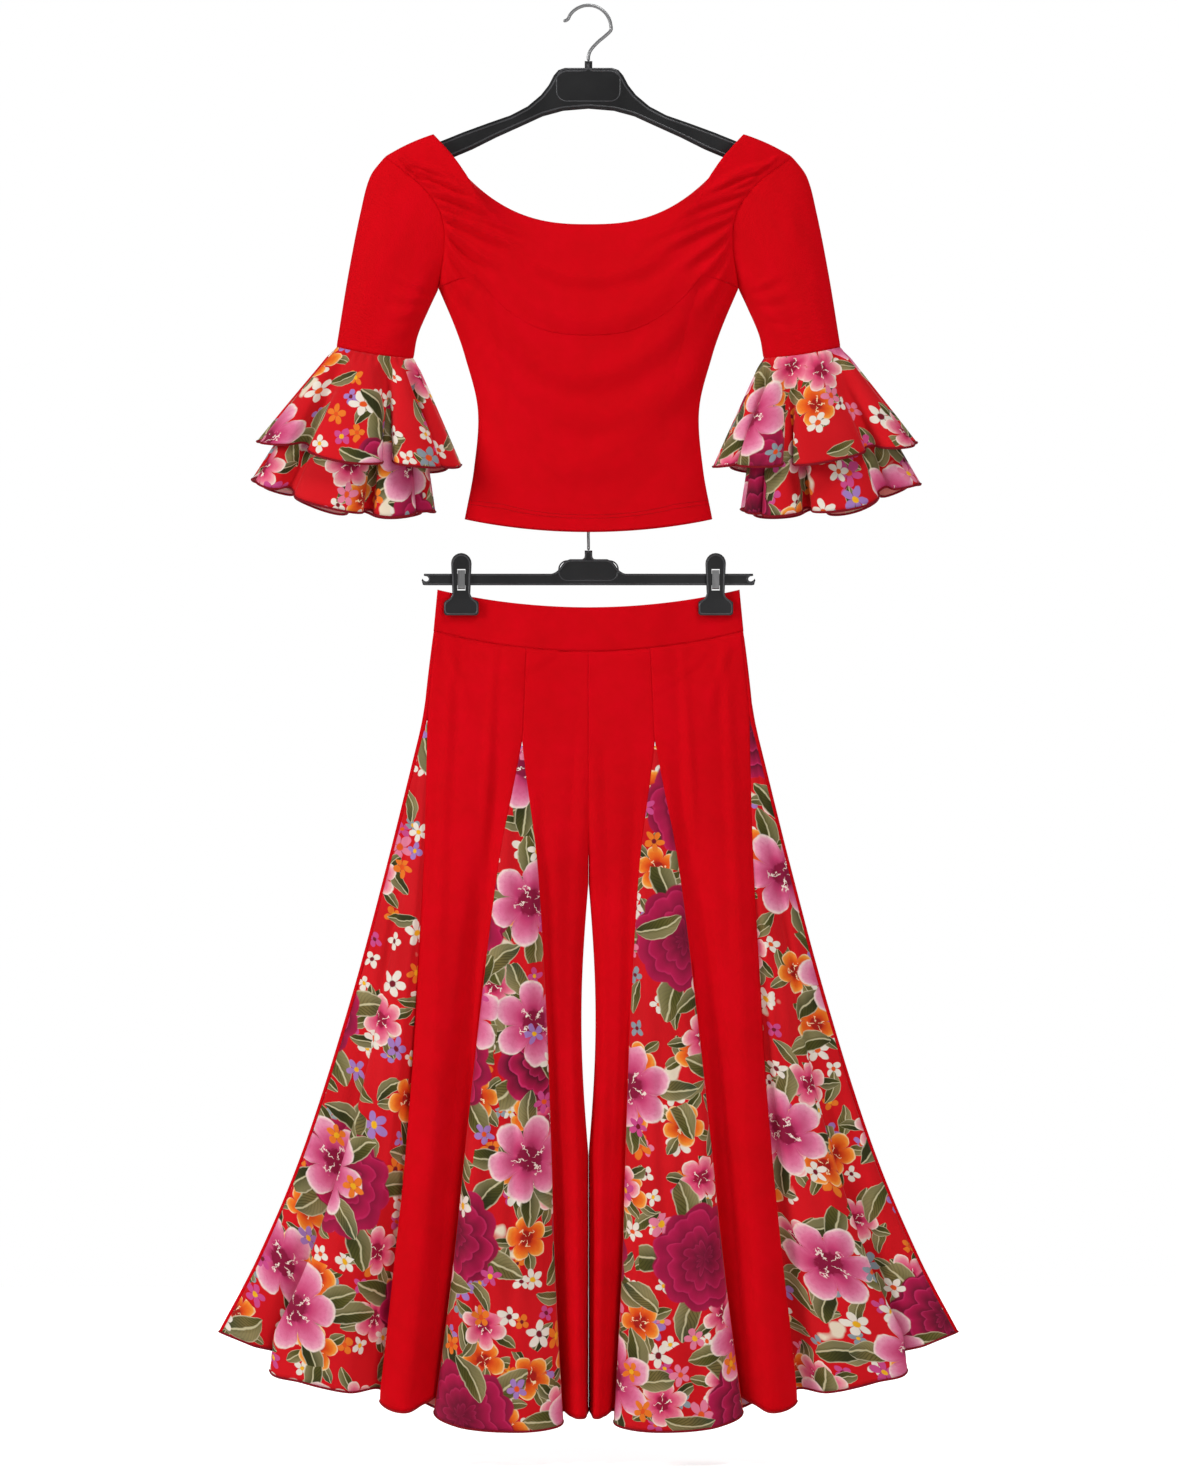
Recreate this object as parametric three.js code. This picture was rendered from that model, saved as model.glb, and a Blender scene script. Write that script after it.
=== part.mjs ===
// A two-piece flamenco outfit hung for display: a gathered top whose sleeves end in two tiers of
// flounces, and wide trousers let out with printed godets, each on its own hanger.
// Millimetres, +Z up, +X to the viewer's right. The front faces -Y, and left and right are the viewer's.
// The origin is the point under the crown of the top hanger's hook where a rail carries it.
import * as THREE from "three";

const { lerp: mix, clamp, smoothstep, degToRad } = THREE.MathUtils;

// Cloth and seams
const CLOTH = 1.6; // wall of the jersey and the crepe
const FRILL = 1.4; // wall of the flounces
const SEAM = 0.3; // gap between two pieces that are sewn together
const STEP = 1e-4; // step for slopes of a surface
const MIDDLE = 0.4; // a wall whose edge lies this near to a middle plane is cut square to it

// A short table: one object for each row, with the named columns
function table(columns, rows) {
  const named = (row) => columns.split(" ").map((column, i) => [column, row[i]]);
  return rows.map((row) => Object.fromEntries(named(row)));
}

// Top, seen from the front
const HEM_Z = -604.5;
const HEM_SAG = 14.5; // how much lower the hem hangs in the middle
const UNDERARM = { x: 177, z: -331.6 };
const SHOULDER_TIP = { x: 240, z: -177 };
const NECK_POINT = { x: 183.5, z: -151.5 };
const NECK_DROP = 107; // from the neck points down to the middle of the front neckline
const BACK_NECK_DROP = 114;
const NECK_POWER = 2.6; // how square the scoop is
const SHOULDER_RISE = 2; // how far the shoulder seam arches over the hanger
const SIDE_SHARE = 0.6; // share of a panel's side edge that is side seam, the rest is armhole
const SHOULDER_SHARE = (1 - Math.cos(Math.PI / 4)) / 2; // share of its top edge that is shoulder
const SHOULDER_RADIUS = 8; // how roundly the cloth turns over the hanger's arm
const PANEL_LENGTH = 330; // of a panel beside the neck, for the place of that turn
const ARMHOLE_CUTS = 10; // straight runs of the armhole seam, front and back each
const ARMHOLE_DEPTH = 20; // how far the sleeve stands out, front or back, at the armhole

const SIDE_SEAM = [
  { z: HEM_Z, half: 146 },
  { z: -545, half: 135 },
  { z: -475, half: 130.5 },
  { z: -411, half: 146 },
  { z: -375, half: 158.5 },
  { z: UNDERARM.z, half: UNDERARM.x },
];
// The armhole from the shoulder tip (0) to the underarm (1)
const ARMHOLE = [
  { s: 0, x: SHOULDER_TIP.x, z: SHOULDER_TIP.z },
  { s: 0.3, x: 196.5, z: -212.4 },
  { s: 0.52, x: 174, z: -244.3 },
  { s: 0.72, x: 169.5, z: -280.8 },
  { s: 1, x: UNDERARM.x, z: UNDERARM.z },
];
// How far the middle of each panel stands out, from the hem (0) up to the neckline (1)
const FRONT_DEPTH = [
  { v: 0, out: 22 },
  { v: 0.35, out: 26 },
  { v: 0.7, out: 34 },
  { v: 0.9, out: 27 },
  { v: 1, out: 21 },
];
const BACK_DEPTH = [
  { v: 0, out: 20 },
  { v: 0.35, out: 21 },
  { v: 0.7, out: 23 },
  { v: 0.9, out: 20 },
  { v: 1, out: 18 },
];
// Gathers held by the armhole seam, which fan out and fade towards the middle of the front
const GATHERS = [
  { v: 0.96, wide: 0.017, high: 2.4, reach: 0.36 },
  { v: 0.88, wide: 0.018, high: 2.8, reach: 0.4 },
  { v: 0.8, wide: 0.019, high: 2.8, reach: 0.4 },
  { v: 0.72, wide: 0.022, high: 2.2, reach: 0.36 },
];
// Slack that hangs in wide curves from shoulder to shoulder
const DRAPES = [
  { v: 0.84, wide: 0.05, high: 2.2 },
  { v: 0.66, wide: 0.055, high: 2.6 },
  { v: 0.47, wide: 0.06, high: 2.2 },
  { v: 0.27, wide: 0.06, high: 1.4 },
];

// Sleeve edges from the armhole (0) to the cuff seam (1)
const SLEEVE_OUTER = [
  { v: 0, x: SHOULDER_TIP.x, z: SHOULDER_TIP.z },
  { v: 0.12, x: 257, z: -200 },
  { v: 0.3, x: 268, z: -240 },
  { v: 0.65, x: 283, z: -316 },
  { v: 1, x: 297, z: -402 },
];
const SLEEVE_INNER = [
  { v: 0, x: UNDERARM.x, z: UNDERARM.z },
  { v: 0.35, x: 189, z: -357 },
  { v: 0.7, x: 202, z: -388 },
  { v: 1, x: 207, z: -415 },
];
const SLEEVE_DEPTH = [
  { v: 0, out: ARMHOLE_DEPTH },
  { v: 0.5, out: 25 },
  { v: 1, out: 23 },
];
const CUFF_SAG = 3;

// Each tier of flounce: cut length at the sides and in front, how far the left and the right one lean
// outward, and both lean inward and forward, for each millimetre of cloth, and the height of its waves
const TIERS = table("name sides front left right inward forward inset wave", [
  ["upper", 133, 131, 0.66, 0.61, 0.37, 0.24, 0, 14],
  ["lower", 177, 188, 0.54, 0.5, 0.12, 0.13, 2.4, 11],
]);
const WAVES = 9;

// Trousers
const TROUSERS_Y = 23; // they hang just behind the back of the top
const BAND_TOP_Z = -687;
const BAND_TOP_SAG = 21;
const BAND_SEAM_Z = -736;
const BAND_SEAM_SAG = 24;
const BAND_HALF = 178.8;
const SEAM_HALF = 183.5;
const HIP_Z = -865; // the front and back godets start here
const SIDE_APEX_Z = -835; // and the side godets here
const HEM_MEAN_Z = -1600;
const PARTING = { top: -965, low: -1045 }; // the legs part between these heights
const FOLDED = 1.7; // half the space between front and back where the cloth is folded or clipped
const GAP_TOP_Z = -1035; // the gap that shows between the legs
const GAP_BOTTOM_Z = -1355;
const GAP_HALF = 8.2;
const TOUCHING = 1.1; // from the middle of the outfit to the inseam where the legs touch
const TROUSER_DEPTH = [
  { z: -1680, out: 30 },
  { z: -1172, out: 26 },
  { z: -985, out: 21 },
  { z: HIP_Z, out: 16 },
  { z: BAND_SEAM_Z, out: 10 },
  { z: BAND_TOP_Z, out: 8 },
];
// Course of the fold at the side and of the seams of one leg: distance from the middle at a height
const COURSES = table("z fold rear side outer inner backOuter backInner", [
  [-1480, 392.5, 388.5, 226, 159, 40, 168, 56],
  [-1345, 336, 332, 214.5, 145, 44, 148, 52],
  [-1172, 281, 277.5, 204, 126, 50.5, 124, 52],
  [-1006, 236.5, 233, 194.7, 105, 61, 103, 60],
  [HIP_Z, 202, 197.5, 191, 78.5, 78.5, 78.5, 78.5],
  [SIDE_APEX_Z, 195.3, 190.2, 190.2, 76.6, 76.6, 76.6, 76.6],
  [BAND_SEAM_Z, SEAM_HALF, 181.5, 181.5, 72.6, 72.6, 72.6, 72.6],
]);
// Lines down one leg, front then back, with their place, depth and height at the hem. Those with a
// `seam` follow its course; the others lie `share` of the way between seams until the flutes open.
const FRONT_RIBS = [
  { seam: "rear", hem: 434, out: 4, z: -1566 },
  { share: 0.25, hem: 399, out: 11, z: -1580 },
  { share: 0.45, hem: 362, out: 4, z: -1597 },
  { share: 0.55, hem: 376, out: 19, z: -1610 },
  { share: 0.7, hem: 340, out: 35, z: -1621 },
  { share: 0.86, hem: 284, out: 38, z: -1633 },
  { seam: "side", hem: 240, out: 10, z: -1635 },
  { share: 0.1, hem: 245, out: 30, z: -1645 },
  { share: 0.35, hem: 216, out: 54, z: -1655 },
  { share: 0.7, hem: 194, out: 36, z: -1646 },
  { share: 0.9, hem: 172, out: 9, z: -1643 },
  { seam: "outer", hem: 182, out: 30, z: -1658 },
  { share: 0.2, hem: 154, out: 52, z: -1671 },
  { share: 0.5, hem: 98.5, out: 60, z: -1677 },
  { share: 0.8, hem: 48, out: 50, z: -1675 },
  { seam: "inner", hem: 30, out: 28, z: -1669 },
  { share: 0.15, hem: 36, out: 9, z: -1658 },
  { share: 0.4, hem: 19, out: 33, z: -1661 },
  { share: 0.7, hem: 10, out: 43, z: -1663 },
  { share: 0.94, hem: 3.4, out: 22, z: -1660 },
  { seam: "inseam", hem: TOUCHING, out: 0, z: -1656 },
];
const BACK_RIBS = [
  { seam: "inseam", hem: TOUCHING, out: 0, z: -1656 },
  { share: 0.06, hem: 3.4, out: 20, z: -1660 },
  { share: 0.3, hem: 16, out: 38, z: -1662 },
  { share: 0.65, hem: 42, out: 40, z: -1663 },
  { share: 0.88, hem: 60, out: 13, z: -1657 },
  { seam: "backInner", hem: 64, out: 27, z: -1663 },
  { share: 0.2, hem: 92, out: 47, z: -1669 },
  { share: 0.5, hem: 134, out: 53, z: -1669 },
  { share: 0.8, hem: 172, out: 40, z: -1662 },
  { seam: "backOuter", hem: 194, out: 16, z: -1651 },
  { share: 0.1, hem: 204, out: 35, z: -1646 },
  { share: 0.25, hem: 238, out: 45, z: -1637 },
  { share: 0.45, hem: 278, out: 17, z: -1622 },
  { share: 0.65, hem: 322, out: 37, z: -1606 },
  { share: 0.82, hem: 372, out: 34, z: -1590 },
  { share: 0.95, hem: 415, out: 16, z: -1573 },
  { seam: "fold", hem: 437, out: 0, z: -1565 },
];
const LINES = [...FRONT_RIBS, ...BACK_RIBS];

// Hangers
const WIRE_TOP = 4; // hook wire diameters
const WIRE_LOW = 3.4;
const HOOK_INNER = 24.5; // inside radius of a hook
const HOOK_HEIGHT = 64; // from the hanger's collar up to the inside of the crown
const HOOK_BEND = [
  { x: 0, up: 6 },
  { x: 2.5, up: 13 },
  { x: 13, up: 22 },
];
const HOOK_ARC = { from: -24, to: 158 }; // degrees
const HOOK_TIP = { out: 1.12, up: 0.28 }; // of its radius
const LOW_STEM = 16; // more straight wire under the bend of the trouser hanger's hook
const COLLAR_HALF = 4.5;
const ARM_THICK = 9;
const ARM_BEVEL = 2.5;
const BAR_HALF_LENGTH = 197.5;
const BAR_Z = -675;
const BAR_HALF_HEIGHT = 6.8;
const BAR_THICK = 7;
const CLIP_X = 150.5;
const CLIP_TOP_Z = -643.8;
const CLIP_FOOT_Z = -717.5;

const COLOURS = {
  red: new THREE.MeshStandardMaterial({ color: "#c8000f", roughness: 0.75, metalness: 0 }),
  print: new THREE.MeshStandardMaterial({ color: "#c9202f", roughness: 0.7, metalness: 0 }),
  plastic: new THREE.MeshStandardMaterial({ color: "#161616", roughness: 0.4, metalness: 0 }),
  rubber: new THREE.MeshStandardMaterial({ color: "#101010", roughness: 0.8, metalness: 0 }),
  steel: new THREE.MeshStandardMaterial({ color: "#9a9b9b", roughness: 0.3, metalness: 1 }),
};

// The value in column `out` of a smooth curve through a table, where its column `at` is x.
// The rows rise in column `at`.
function through(rows, at, out, x) {
  const last = rows.length - 1;
  let i = 0;
  while (i < last - 1 && x > rows[i + 1][at]) i += 1;
  const slope = (k) => {
    const before = rows[Math.max(k - 1, 0)];
    const after = rows[Math.min(k + 1, last)];
    return (after[out] - before[out]) / (after[at] - before[at]);
  };
  const span = rows[i + 1][at] - rows[i][at];
  const t = clamp((x - rows[i][at]) / span, 0, 1);
  return hermite(rows[i][out], rows[i + 1][out], slope(i) * span, slope(i + 1) * span, t);
}

function hermite(a, b, slopeA, slopeB, t) {
  const t2 = t * t;
  const t3 = t2 * t;
  return (
    a * (2 * t3 - 3 * t2 + 1) + slopeA * (t3 - 2 * t2 + t) + b * (3 * t2 - 2 * t3) + slopeB * (t3 - t2)
  );
}

const bump = (x, centre, wide) => Math.exp(-(((x - centre) / wide) ** 2));

function evenly(count, from = 0, to = 1) {
  return Array.from({ length: count + 1 }, (_, i) => mix(from, to, i / count));
}

// Levels that crowd towards both ends, where the cloth turns round an edge
function crowded(count) {
  return evenly(count).map((w) => (1 - Math.cos(Math.PI * w)) / 2);
}

// The outward direction of a surface. Where two pieces meet on a middle plane, their edges are cut
// square to it.
function normalAt(surface, u, v, point) {
  const along = surface(u + STEP, v).sub(surface(u - STEP, v));
  const down = surface(u, v + STEP).sub(surface(u, v - STEP));
  const normal = along.cross(down);
  if (Math.abs(point.y) < MIDDLE) normal.y = 0;
  if (Math.abs(point.x) < MIDDLE) normal.x = 0;
  return normal.normalize();
}

const LEAST_REACH = 0.22; // share of a wall's thickness that each side keeps off a facet's middle
const FACET_ROUNDS = 12;

// A closed wall of cloth `thick` through around surface(u, v). `us` holds the levels across, or makes
// them for a given v. A closed wall joins its last column to its first.
function clothWall(surface, us, vs, { thick = CLOTH, closed = false, reachAt = normalAt } = {}) {
  const rows = vs.map((v) => {
    const levels = typeof us === "function" ? us(v) : us;
    return (closed ? levels.slice(0, -1) : levels).map((u) => {
      const middle = surface(u, v);
      const reach = reachAt(surface, u, v, middle).multiplyScalar(thick / 2);
      return { middle, reach, least: LEAST_REACH * thick };
    });
  });
  for (const row of closed ? [] : rows) row[0].least = row.at(-1).least = -thick; // seams stay put
  clearFacets(rows, closed);
  const wide = rows[0].length;
  const position = rows.flat().flatMap(({ middle, reach }) => [
    ...middle.clone().add(reach).toArray(),
    ...middle.clone().sub(reach).toArray(),
  ]);
  const id = (j, i, face) => (j * wide + (i % wide)) * 2 + face;
  const index = [];
  const quad = (a, b, c, d) => index.push(a, b, c, a, c, d);
  const cells = closed ? wide : wide - 1;
  const top = rows.length - 1;
  for (let i = 0; i < cells; i += 1) {
    for (let j = 0; j < top; j += 1) {
      quad(id(j, i, 0), id(j, i + 1, 0), id(j + 1, i + 1, 0), id(j + 1, i, 0));
      quad(id(j, i, 1), id(j + 1, i, 1), id(j + 1, i + 1, 1), id(j, i + 1, 1));
    }
    quad(id(0, i, 0), id(0, i, 1), id(0, i + 1, 1), id(0, i + 1, 0));
    quad(id(top, i, 0), id(top, i + 1, 0), id(top, i + 1, 1), id(top, i, 1));
  }
  for (let j = 0; j < top && !closed; j += 1) {
    quad(id(j, 0, 0), id(j + 1, 0, 0), id(j + 1, 0, 1), id(j, 0, 1));
    quad(id(j, cells, 0), id(j, cells, 1), id(j + 1, cells, 1), id(j + 1, cells, 0));
  }
  const geometry = new THREE.BufferGeometry();
  geometry.setAttribute("position", new THREE.Float32BufferAttribute(position, 3));
  geometry.setIndex(volume(position, index) < 0 ? index.reverse() : index);
  return geometry;
}

// Turns the reach of a point where it lies too flat on a facet beside it, so that the two sides of the
// wall stay at least the point's `least` off every facet of its middle and can't cross
function clearFacets(rows, closed) {
  const facets = [];
  for (let j = 0; j + 1 < rows.length; j += 1) {
    const wide = rows[j].length;
    for (let i = 0; i < (closed ? wide : wide - 1); i += 1) {
      const [a, b, c, d] = [rows[j][i], rows[j][(i + 1) % wide], rows[j + 1][(i + 1) % wide], rows[j + 1][i]];
      facets.push([a, b, c], [a, c, d]);
    }
  }
  const sides = facets.map((facet) => {
    const [p, q, r] = facet.map(({ middle }) => middle);
    return q.clone().sub(p).cross(r.clone().sub(p));
  });
  let sum = 0;
  facets.forEach((facet, k) => facet.forEach(({ reach }) => (sum += reach.dot(sides[k]))));
  sides.forEach((side) => side.normalize().multiplyScalar(Math.sign(sum)));
  for (let round = 0; round < FACET_ROUNDS; round += 1) {
    facets.forEach((facet, k) => {
      for (const { reach, least } of facet) {
        const lack = least - reach.dot(sides[k]);
        if (lack > 0) reach.addScaledVector(sides[k], lack);
      }
    });
  }
}

function volume(position, index) {
  const corner = (k) => new THREE.Vector3().fromArray(position, index[k] * 3);
  let sum = 0;
  for (let k = 0; k < index.length; k += 3) sum += corner(k).dot(corner(k + 1).cross(corner(k + 2)));
  return sum;
}

const outfit = new THREE.Group();
const trousers = new THREE.Group();
trousers.position.y = TROUSERS_Y;
outfit.add(trousers);

function addPiece(group, name, geometry, material) {
  geometry.computeVertexNormals();
  const mesh = new THREE.Mesh(geometry, material);
  mesh.name = name;
  group.add(mesh);
}

const SIDES = [
  { word: "left", sign: -1 },
  { word: "right", sign: 1 },
];

// The armhole seam on the right, front or back alike, in ARMHOLE_CUTS straight runs that bodice and
// sleeve share. Cloth on the bodice side passes -SEAM / 2.
function armhole(s, gap) {
  const place = (Math.acos(clamp(1 - 2 * s, -1, 1)) / Math.PI) * ARMHOLE_CUTS;
  const run = Math.min(Math.floor(place), ARMHOLE_CUTS - 1);
  return armholeCorner(run, gap).lerp(armholeCorner(run + 1, gap), place - run);
}

function armholeCorner(cut, gap) {
  const s = (1 - Math.cos((Math.PI * cut) / ARMHOLE_CUTS)) / 2;
  const stand = 2 * ARMHOLE_DEPTH * Math.sqrt(Math.max(s * (1 - s), 0));
  const spread = gap * (1 + 6 * s ** 12 + 6 * (1 - s) ** 60); // wider where the seams meet end on
  return new THREE.Vector3(
    through(ARMHOLE, "s", "x", s) + spread,
    stand,
    through(ARMHOLE, "s", "z", s),
  );
}

// Place along the armhole of level v of a bodice panel
const armholeShare = (v) => (1 + Math.cos((Math.PI * (v - SIDE_SHARE)) / (1 - SIDE_SHARE))) / 2;

// Right-hand edge of a bodice panel, from the hem (0) to the shoulder tip (1)
function bodiceSide(v) {
  if (v >= SIDE_SHARE) return armhole(armholeShare(v), -SEAM / 2);
  const z = mix(HEM_Z, UNDERARM.z, v / SIDE_SHARE);
  const near = -SEAM / 2 * (1 + 6 * (v / SIDE_SHARE) ** 12);
  return new THREE.Vector3(through(SIDE_SEAM, "z", "half", z) + near, SEAM / 2, z);
}

// Top edge of a bodice panel: shoulder, neckline, shoulder
function bodiceTop(u, drop) {
  const fromEdge = Math.min(u, 1 - u) / SHOULDER_SHARE;
  const sign = u < 0.5 ? -1 : 1;
  if (fromEdge < 1) {
    const tip = bodiceSide(1);
    const arch = SHOULDER_RISE * Math.sin(Math.PI * fromEdge);
    const x = sign * mix(tip.x, NECK_POINT.x, fromEdge);
    return { x, z: mix(tip.z, NECK_POINT.z, fromEdge) + arch };
  }
  const across = (u - 0.5) / (0.5 - SHOULDER_SHARE);
  const scoop = 1 - Math.abs(across) ** NECK_POWER;
  return { x: across * NECK_POINT.x, z: NECK_POINT.z - drop * scoop };
}

function drapeHeight(u, v) {
  const fromEdge = Math.min(u, 1 - u);
  const held = smoothstep(fromEdge, 0, 0.05);
  let high = 0;
  for (const g of GATHERS) {
    const fan = g.v + 0.035 * (fromEdge / g.reach) ** 2;
    const fade = 1 - smoothstep(fromEdge, g.reach * 0.35, g.reach);
    high += g.high * held * fade * bump(v, fan, g.wide);
  }
  for (const d of DRAPES) high += d.high * smoothstep(fromEdge, 0.08, 0.3) * bump(v, d.v, d.wide);
  return high;
}

// A bodice panel: u from left to right, v from hem to neckline. facing is -1 in front, 1 behind.
function bodicePoint(u, v, facing, drop, depths, drapes) {
  const w = clamp(u, 0, 1);
  const h = clamp(v, 0, 1);
  const side = bodiceSide(h);
  const top = bodiceTop(w, drop);
  const corner = { low: bodiceSide(0), high: bodiceSide(1) };
  const across = 2 * w - 1;
  const hem = { x: across * corner.low.x, z: HEM_Z - HEM_SAG * (1 - across * across) };
  const x = across * side.x + mix(hem.x, top.x, h) - across * mix(corner.low.x, corner.high.x, h);
  const z = mix(hem.z, top.z, (side.z - corner.low.z) / (corner.high.z - corner.low.z));

  const besideSleeve = smoothstep(h, SIDE_SHARE - 0.04, SIDE_SHARE + 0.16);
  const rounded = Math.sqrt(Math.max(1 - Math.abs(across) ** 3.5, 0));
  const gentle = Math.sin((Math.PI / 2) * (1 - Math.abs(across))) ** 0.6;
  const share = mix(rounded, gentle, besideSleeve);
  let stand = mix(side.y, through(depths, "v", "out", h), share);
  if (drapes) stand += drapeHeight(w, h);
  const neckEdge = 0.5 - SHOULDER_SHARE;
  const nearShoulder = neckEdge - SHOULDER_SHARE * 0.02;
  const onShoulder = neckEdge + SHOULDER_SHARE * 0.01;
  const clearOfShoulder = 1 - smoothstep(Math.abs(w - 0.5), nearShoulder, onShoulder);
  const below = (1 - h) * PANEL_LENGTH;
  const turn = below < SHOULDER_RADIUS ? Math.sqrt(1 - (1 - below / SHOULDER_RADIUS) ** 2) : 1;
  stand = Math.max(mix(stand * turn, stand, clearOfShoulder), SEAM / 2);
  return new THREE.Vector3(x, facing * stand, z);
}

const ALONG_ARMHOLE = [...evenly(ARMHOLE_CUTS, SIDE_SHARE, 1).slice(0, -1), 0.977, 0.989, 0.996, 1];
const RISE = [...evenly(5, 0, 0.5), ...ALONG_ARMHOLE];
const BACK_RISE = [...evenly(3, 0, 0.45), ...ALONG_ARMHOLE];
const frontPoint = (u, v) => bodicePoint(u, v, -1, NECK_DROP, FRONT_DEPTH, true);
const backPoint = (u, v) => bodicePoint(u, v, 1, BACK_NECK_DROP, BACK_DEPTH, false);
const meetingSleeve = (facing) => ({
  reachAt: (surface, u, v, point) => {
    const own = normalAt(surface, u, v, point);
    if (v < SIDE_SHARE || (u > 0 && u < 1)) return own;
    return alike(armholeNormal(armholeShare(v), facing, Math.sign(point.x)), own);
  },
});

// A right sleeve: angle round from the outer edge (0) over the front to the inner edge (PI) and back
function sleevePoint(angle, v) {
  const s = (1 - Math.cos(angle)) / 2;
  const h = clamp(v, 0, 1);
  const start = armhole(s, SEAM / 2);
  const bend = (rows, axis) => through(rows, "v", axis, h) - mix(rows[0][axis], rows.at(-1)[axis], h);
  const cuff = {
    x: mix(SLEEVE_OUTER.at(-1).x, SLEEVE_INNER.at(-1).x, s),
    z: mix(SLEEVE_OUTER.at(-1).z, SLEEVE_INNER.at(-1).z, s) - CUFF_SAG * Math.sin(Math.PI * s),
  };
  const between = (axis) => mix(bend(SLEEVE_OUTER, axis), bend(SLEEVE_INNER, axis), s);
  const place = (axis) => mix(start[axis], cuff[axis], h) + between(axis);
  const crease = 1.8 * Math.sin(Math.PI * h) * Math.sin(angle) ** 2 * Math.cos(5 * angle + 3 * h);
  const stand = through(SLEEVE_DEPTH, "v", "out", h) * Math.sin(angle);
  return new THREE.Vector3(place("x"), -stand - Math.sign(Math.sin(angle)) * crease, place("z"));
}

// A flounce on the right, leaning outward as that of the side in `word`: t runs from the cuff seam (0)
// to the hem (1)
function flouncePoint(angle, t, tier, word) {
  const cuff = sleevePoint(angle, 1);
  const c = Math.cos(angle);
  const f = Math.sin(angle);
  const lean = new THREE.Vector3(mix(tier[word], -tier.inward, (1 - c) / 2), -tier.forward * f, 0);
  lean.z = -Math.sqrt(1 - lean.lengthSq());
  const away = new THREE.Vector3(c, -f * 1.35, 0).normalize();
  const length = mix(tier.sides, tier.front, f * f);
  const uneven = angle + 0.22 * Math.sin(2 * angle + 0.7);
  const wave = Math.cos(WAVES * uneven + 0.6) * (1 + 0.25 * Math.sin(3 * angle + 1));
  const gathered = mix(1.2, tier.wave, clamp(t, 0, 1) ** 1.15);
  cuff.z -= SEAM;
  return cuff
    .addScaledVector(away, gathered * wave * smoothstep(t, 0, 0.12) - tier.inset)
    .addScaledVector(lean, Math.max(t, 0) * length);
}

// A direction turned, if need be, to the side that another one points to
const alike = (direction, other) => (direction.dot(other) < 0 ? direction.negate() : direction);

// The direction through both walls at the armhole seam, between those of the bodice and the sleeve
function armholeNormal(s, facing, sign) {
  const angle = Math.acos(clamp(1 - 2 * s, -1, 1)) * -facing;
  const panel = facing < 0 ? frontPoint : backPoint;
  const v = SIDE_SHARE + ((1 - SIDE_SHARE) * Math.acos(clamp(2 * s - 1, -1, 1))) / Math.PI;
  const bodice = alike(normalAt(panel, 1, v, panel(1, v)), new THREE.Vector3(0.3, facing, 0));
  const around = new THREE.Vector3(Math.cos(angle), -Math.sin(angle), 0);
  const sleeve = alike(normalAt(sleevePoint, angle, 0, sleevePoint(angle, 0)), around);
  const shared = bodice.add(sleeve).normalize();
  return shared.setX(shared.x * sign);
}

const meetingBodice = (sign) => (surface, angle, v, point) => {
  const own = normalAt(surface, angle, v, point);
  const facing = Math.sin(angle) >= 0 ? -1 : 1;
  return v > 0 ? own : alike(armholeNormal((1 - Math.cos(angle)) / 2, facing, sign), own);
};
const meetingCuff = (sleeve) => (surface, angle, t, point) => {
  const own = normalAt(surface, angle, t, point);
  return t > 0 ? own : alike(normalAt(sleeve, angle, 1, sleeve(angle, 1)), own);
};

const mirrored = (surface, sign) => (u, v) => {
  const point = surface(u, v);
  point.x *= sign;
  return point;
};
const frontPanel = clothWall(frontPoint, crowded(24), RISE, meetingSleeve(-1));
const backPanel = clothWall(backPoint, crowded(16), BACK_RISE, meetingSleeve(1));
addPiece(outfit, "bodice_front", frontPanel, COLOURS.red);
addPiece(outfit, "bodice_back", backPanel, COLOURS.red);
const AROUND = (count) => evenly(count, 0, 2 * Math.PI);
for (const { word, sign } of SIDES) {
  const tube = mirrored(sleevePoint, sign);
  const joined = { closed: true, reachAt: meetingBodice(sign) };
  const sleeve = clothWall(tube, AROUND(2 * ARMHOLE_CUTS), evenly(7), joined);
  addPiece(outfit, `sleeve_${word}`, sleeve, COLOURS.red);
  for (const tier of TIERS) {
    const surface = mirrored((a, t) => flouncePoint(a, t, tier, word), sign);
    const options = { thick: FRILL, closed: true, reachAt: meetingCuff(tube) };
    const flounce = clothWall(surface, AROUND(WAVES * 5), [0, 0.15, 0.55, 1], options);
    addPiece(outfit, `flounce_${tier.name}_${word}`, flounce, COLOURS.print);
  }
}

// Where the waist seam and the top of the waistband run
const bandSeamZ = (x) => BAND_SEAM_Z - BAND_SEAM_SAG * (1 - clamp(x / SEAM_HALF, 0, 1) ** 2);
const bandTopZ = (x) => BAND_TOP_Z - BAND_TOP_SAG * (1 - clamp(x / BAND_HALF, 0, 1) ** 2);

// Above the apex of a godet its second seam runs in the first
const JOINED = {
  rear: { above: SIDE_APEX_Z, seam: "side" },
  inner: { above: HIP_Z, seam: "outer" },
  backInner: { above: HIP_Z, seam: "backOuter" },
};

// 0 above the crotch and 1 where the legs are apart
const parting = (z) => smoothstep(-z, -PARTING.top, -PARTING.low);

// The course of a seam down the leg: its distance from the middle at height z
function courseX(rib, z) {
  if (rib.seam === "inseam") {
    const gap = clamp((z - GAP_BOTTOM_Z) / (GAP_TOP_Z - GAP_BOTTOM_Z), 0, 1);
    return TOUCHING * Math.sin((Math.PI / 2) * parting(z)) + GAP_HALF * Math.sin(Math.PI * gap);
  }
  const joined = JOINED[rib.seam];
  if (joined && z >= joined.above) {
    return courseX(LINES.find((line) => line.seam === joined.seam), z);
  }
  const course = [{ z: rib.z, x: rib.hem }, ...COURSES.map((row) => ({ z: row.z, x: row[rib.seam] }))];
  return through(course, "z", "x", z);
}

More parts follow.
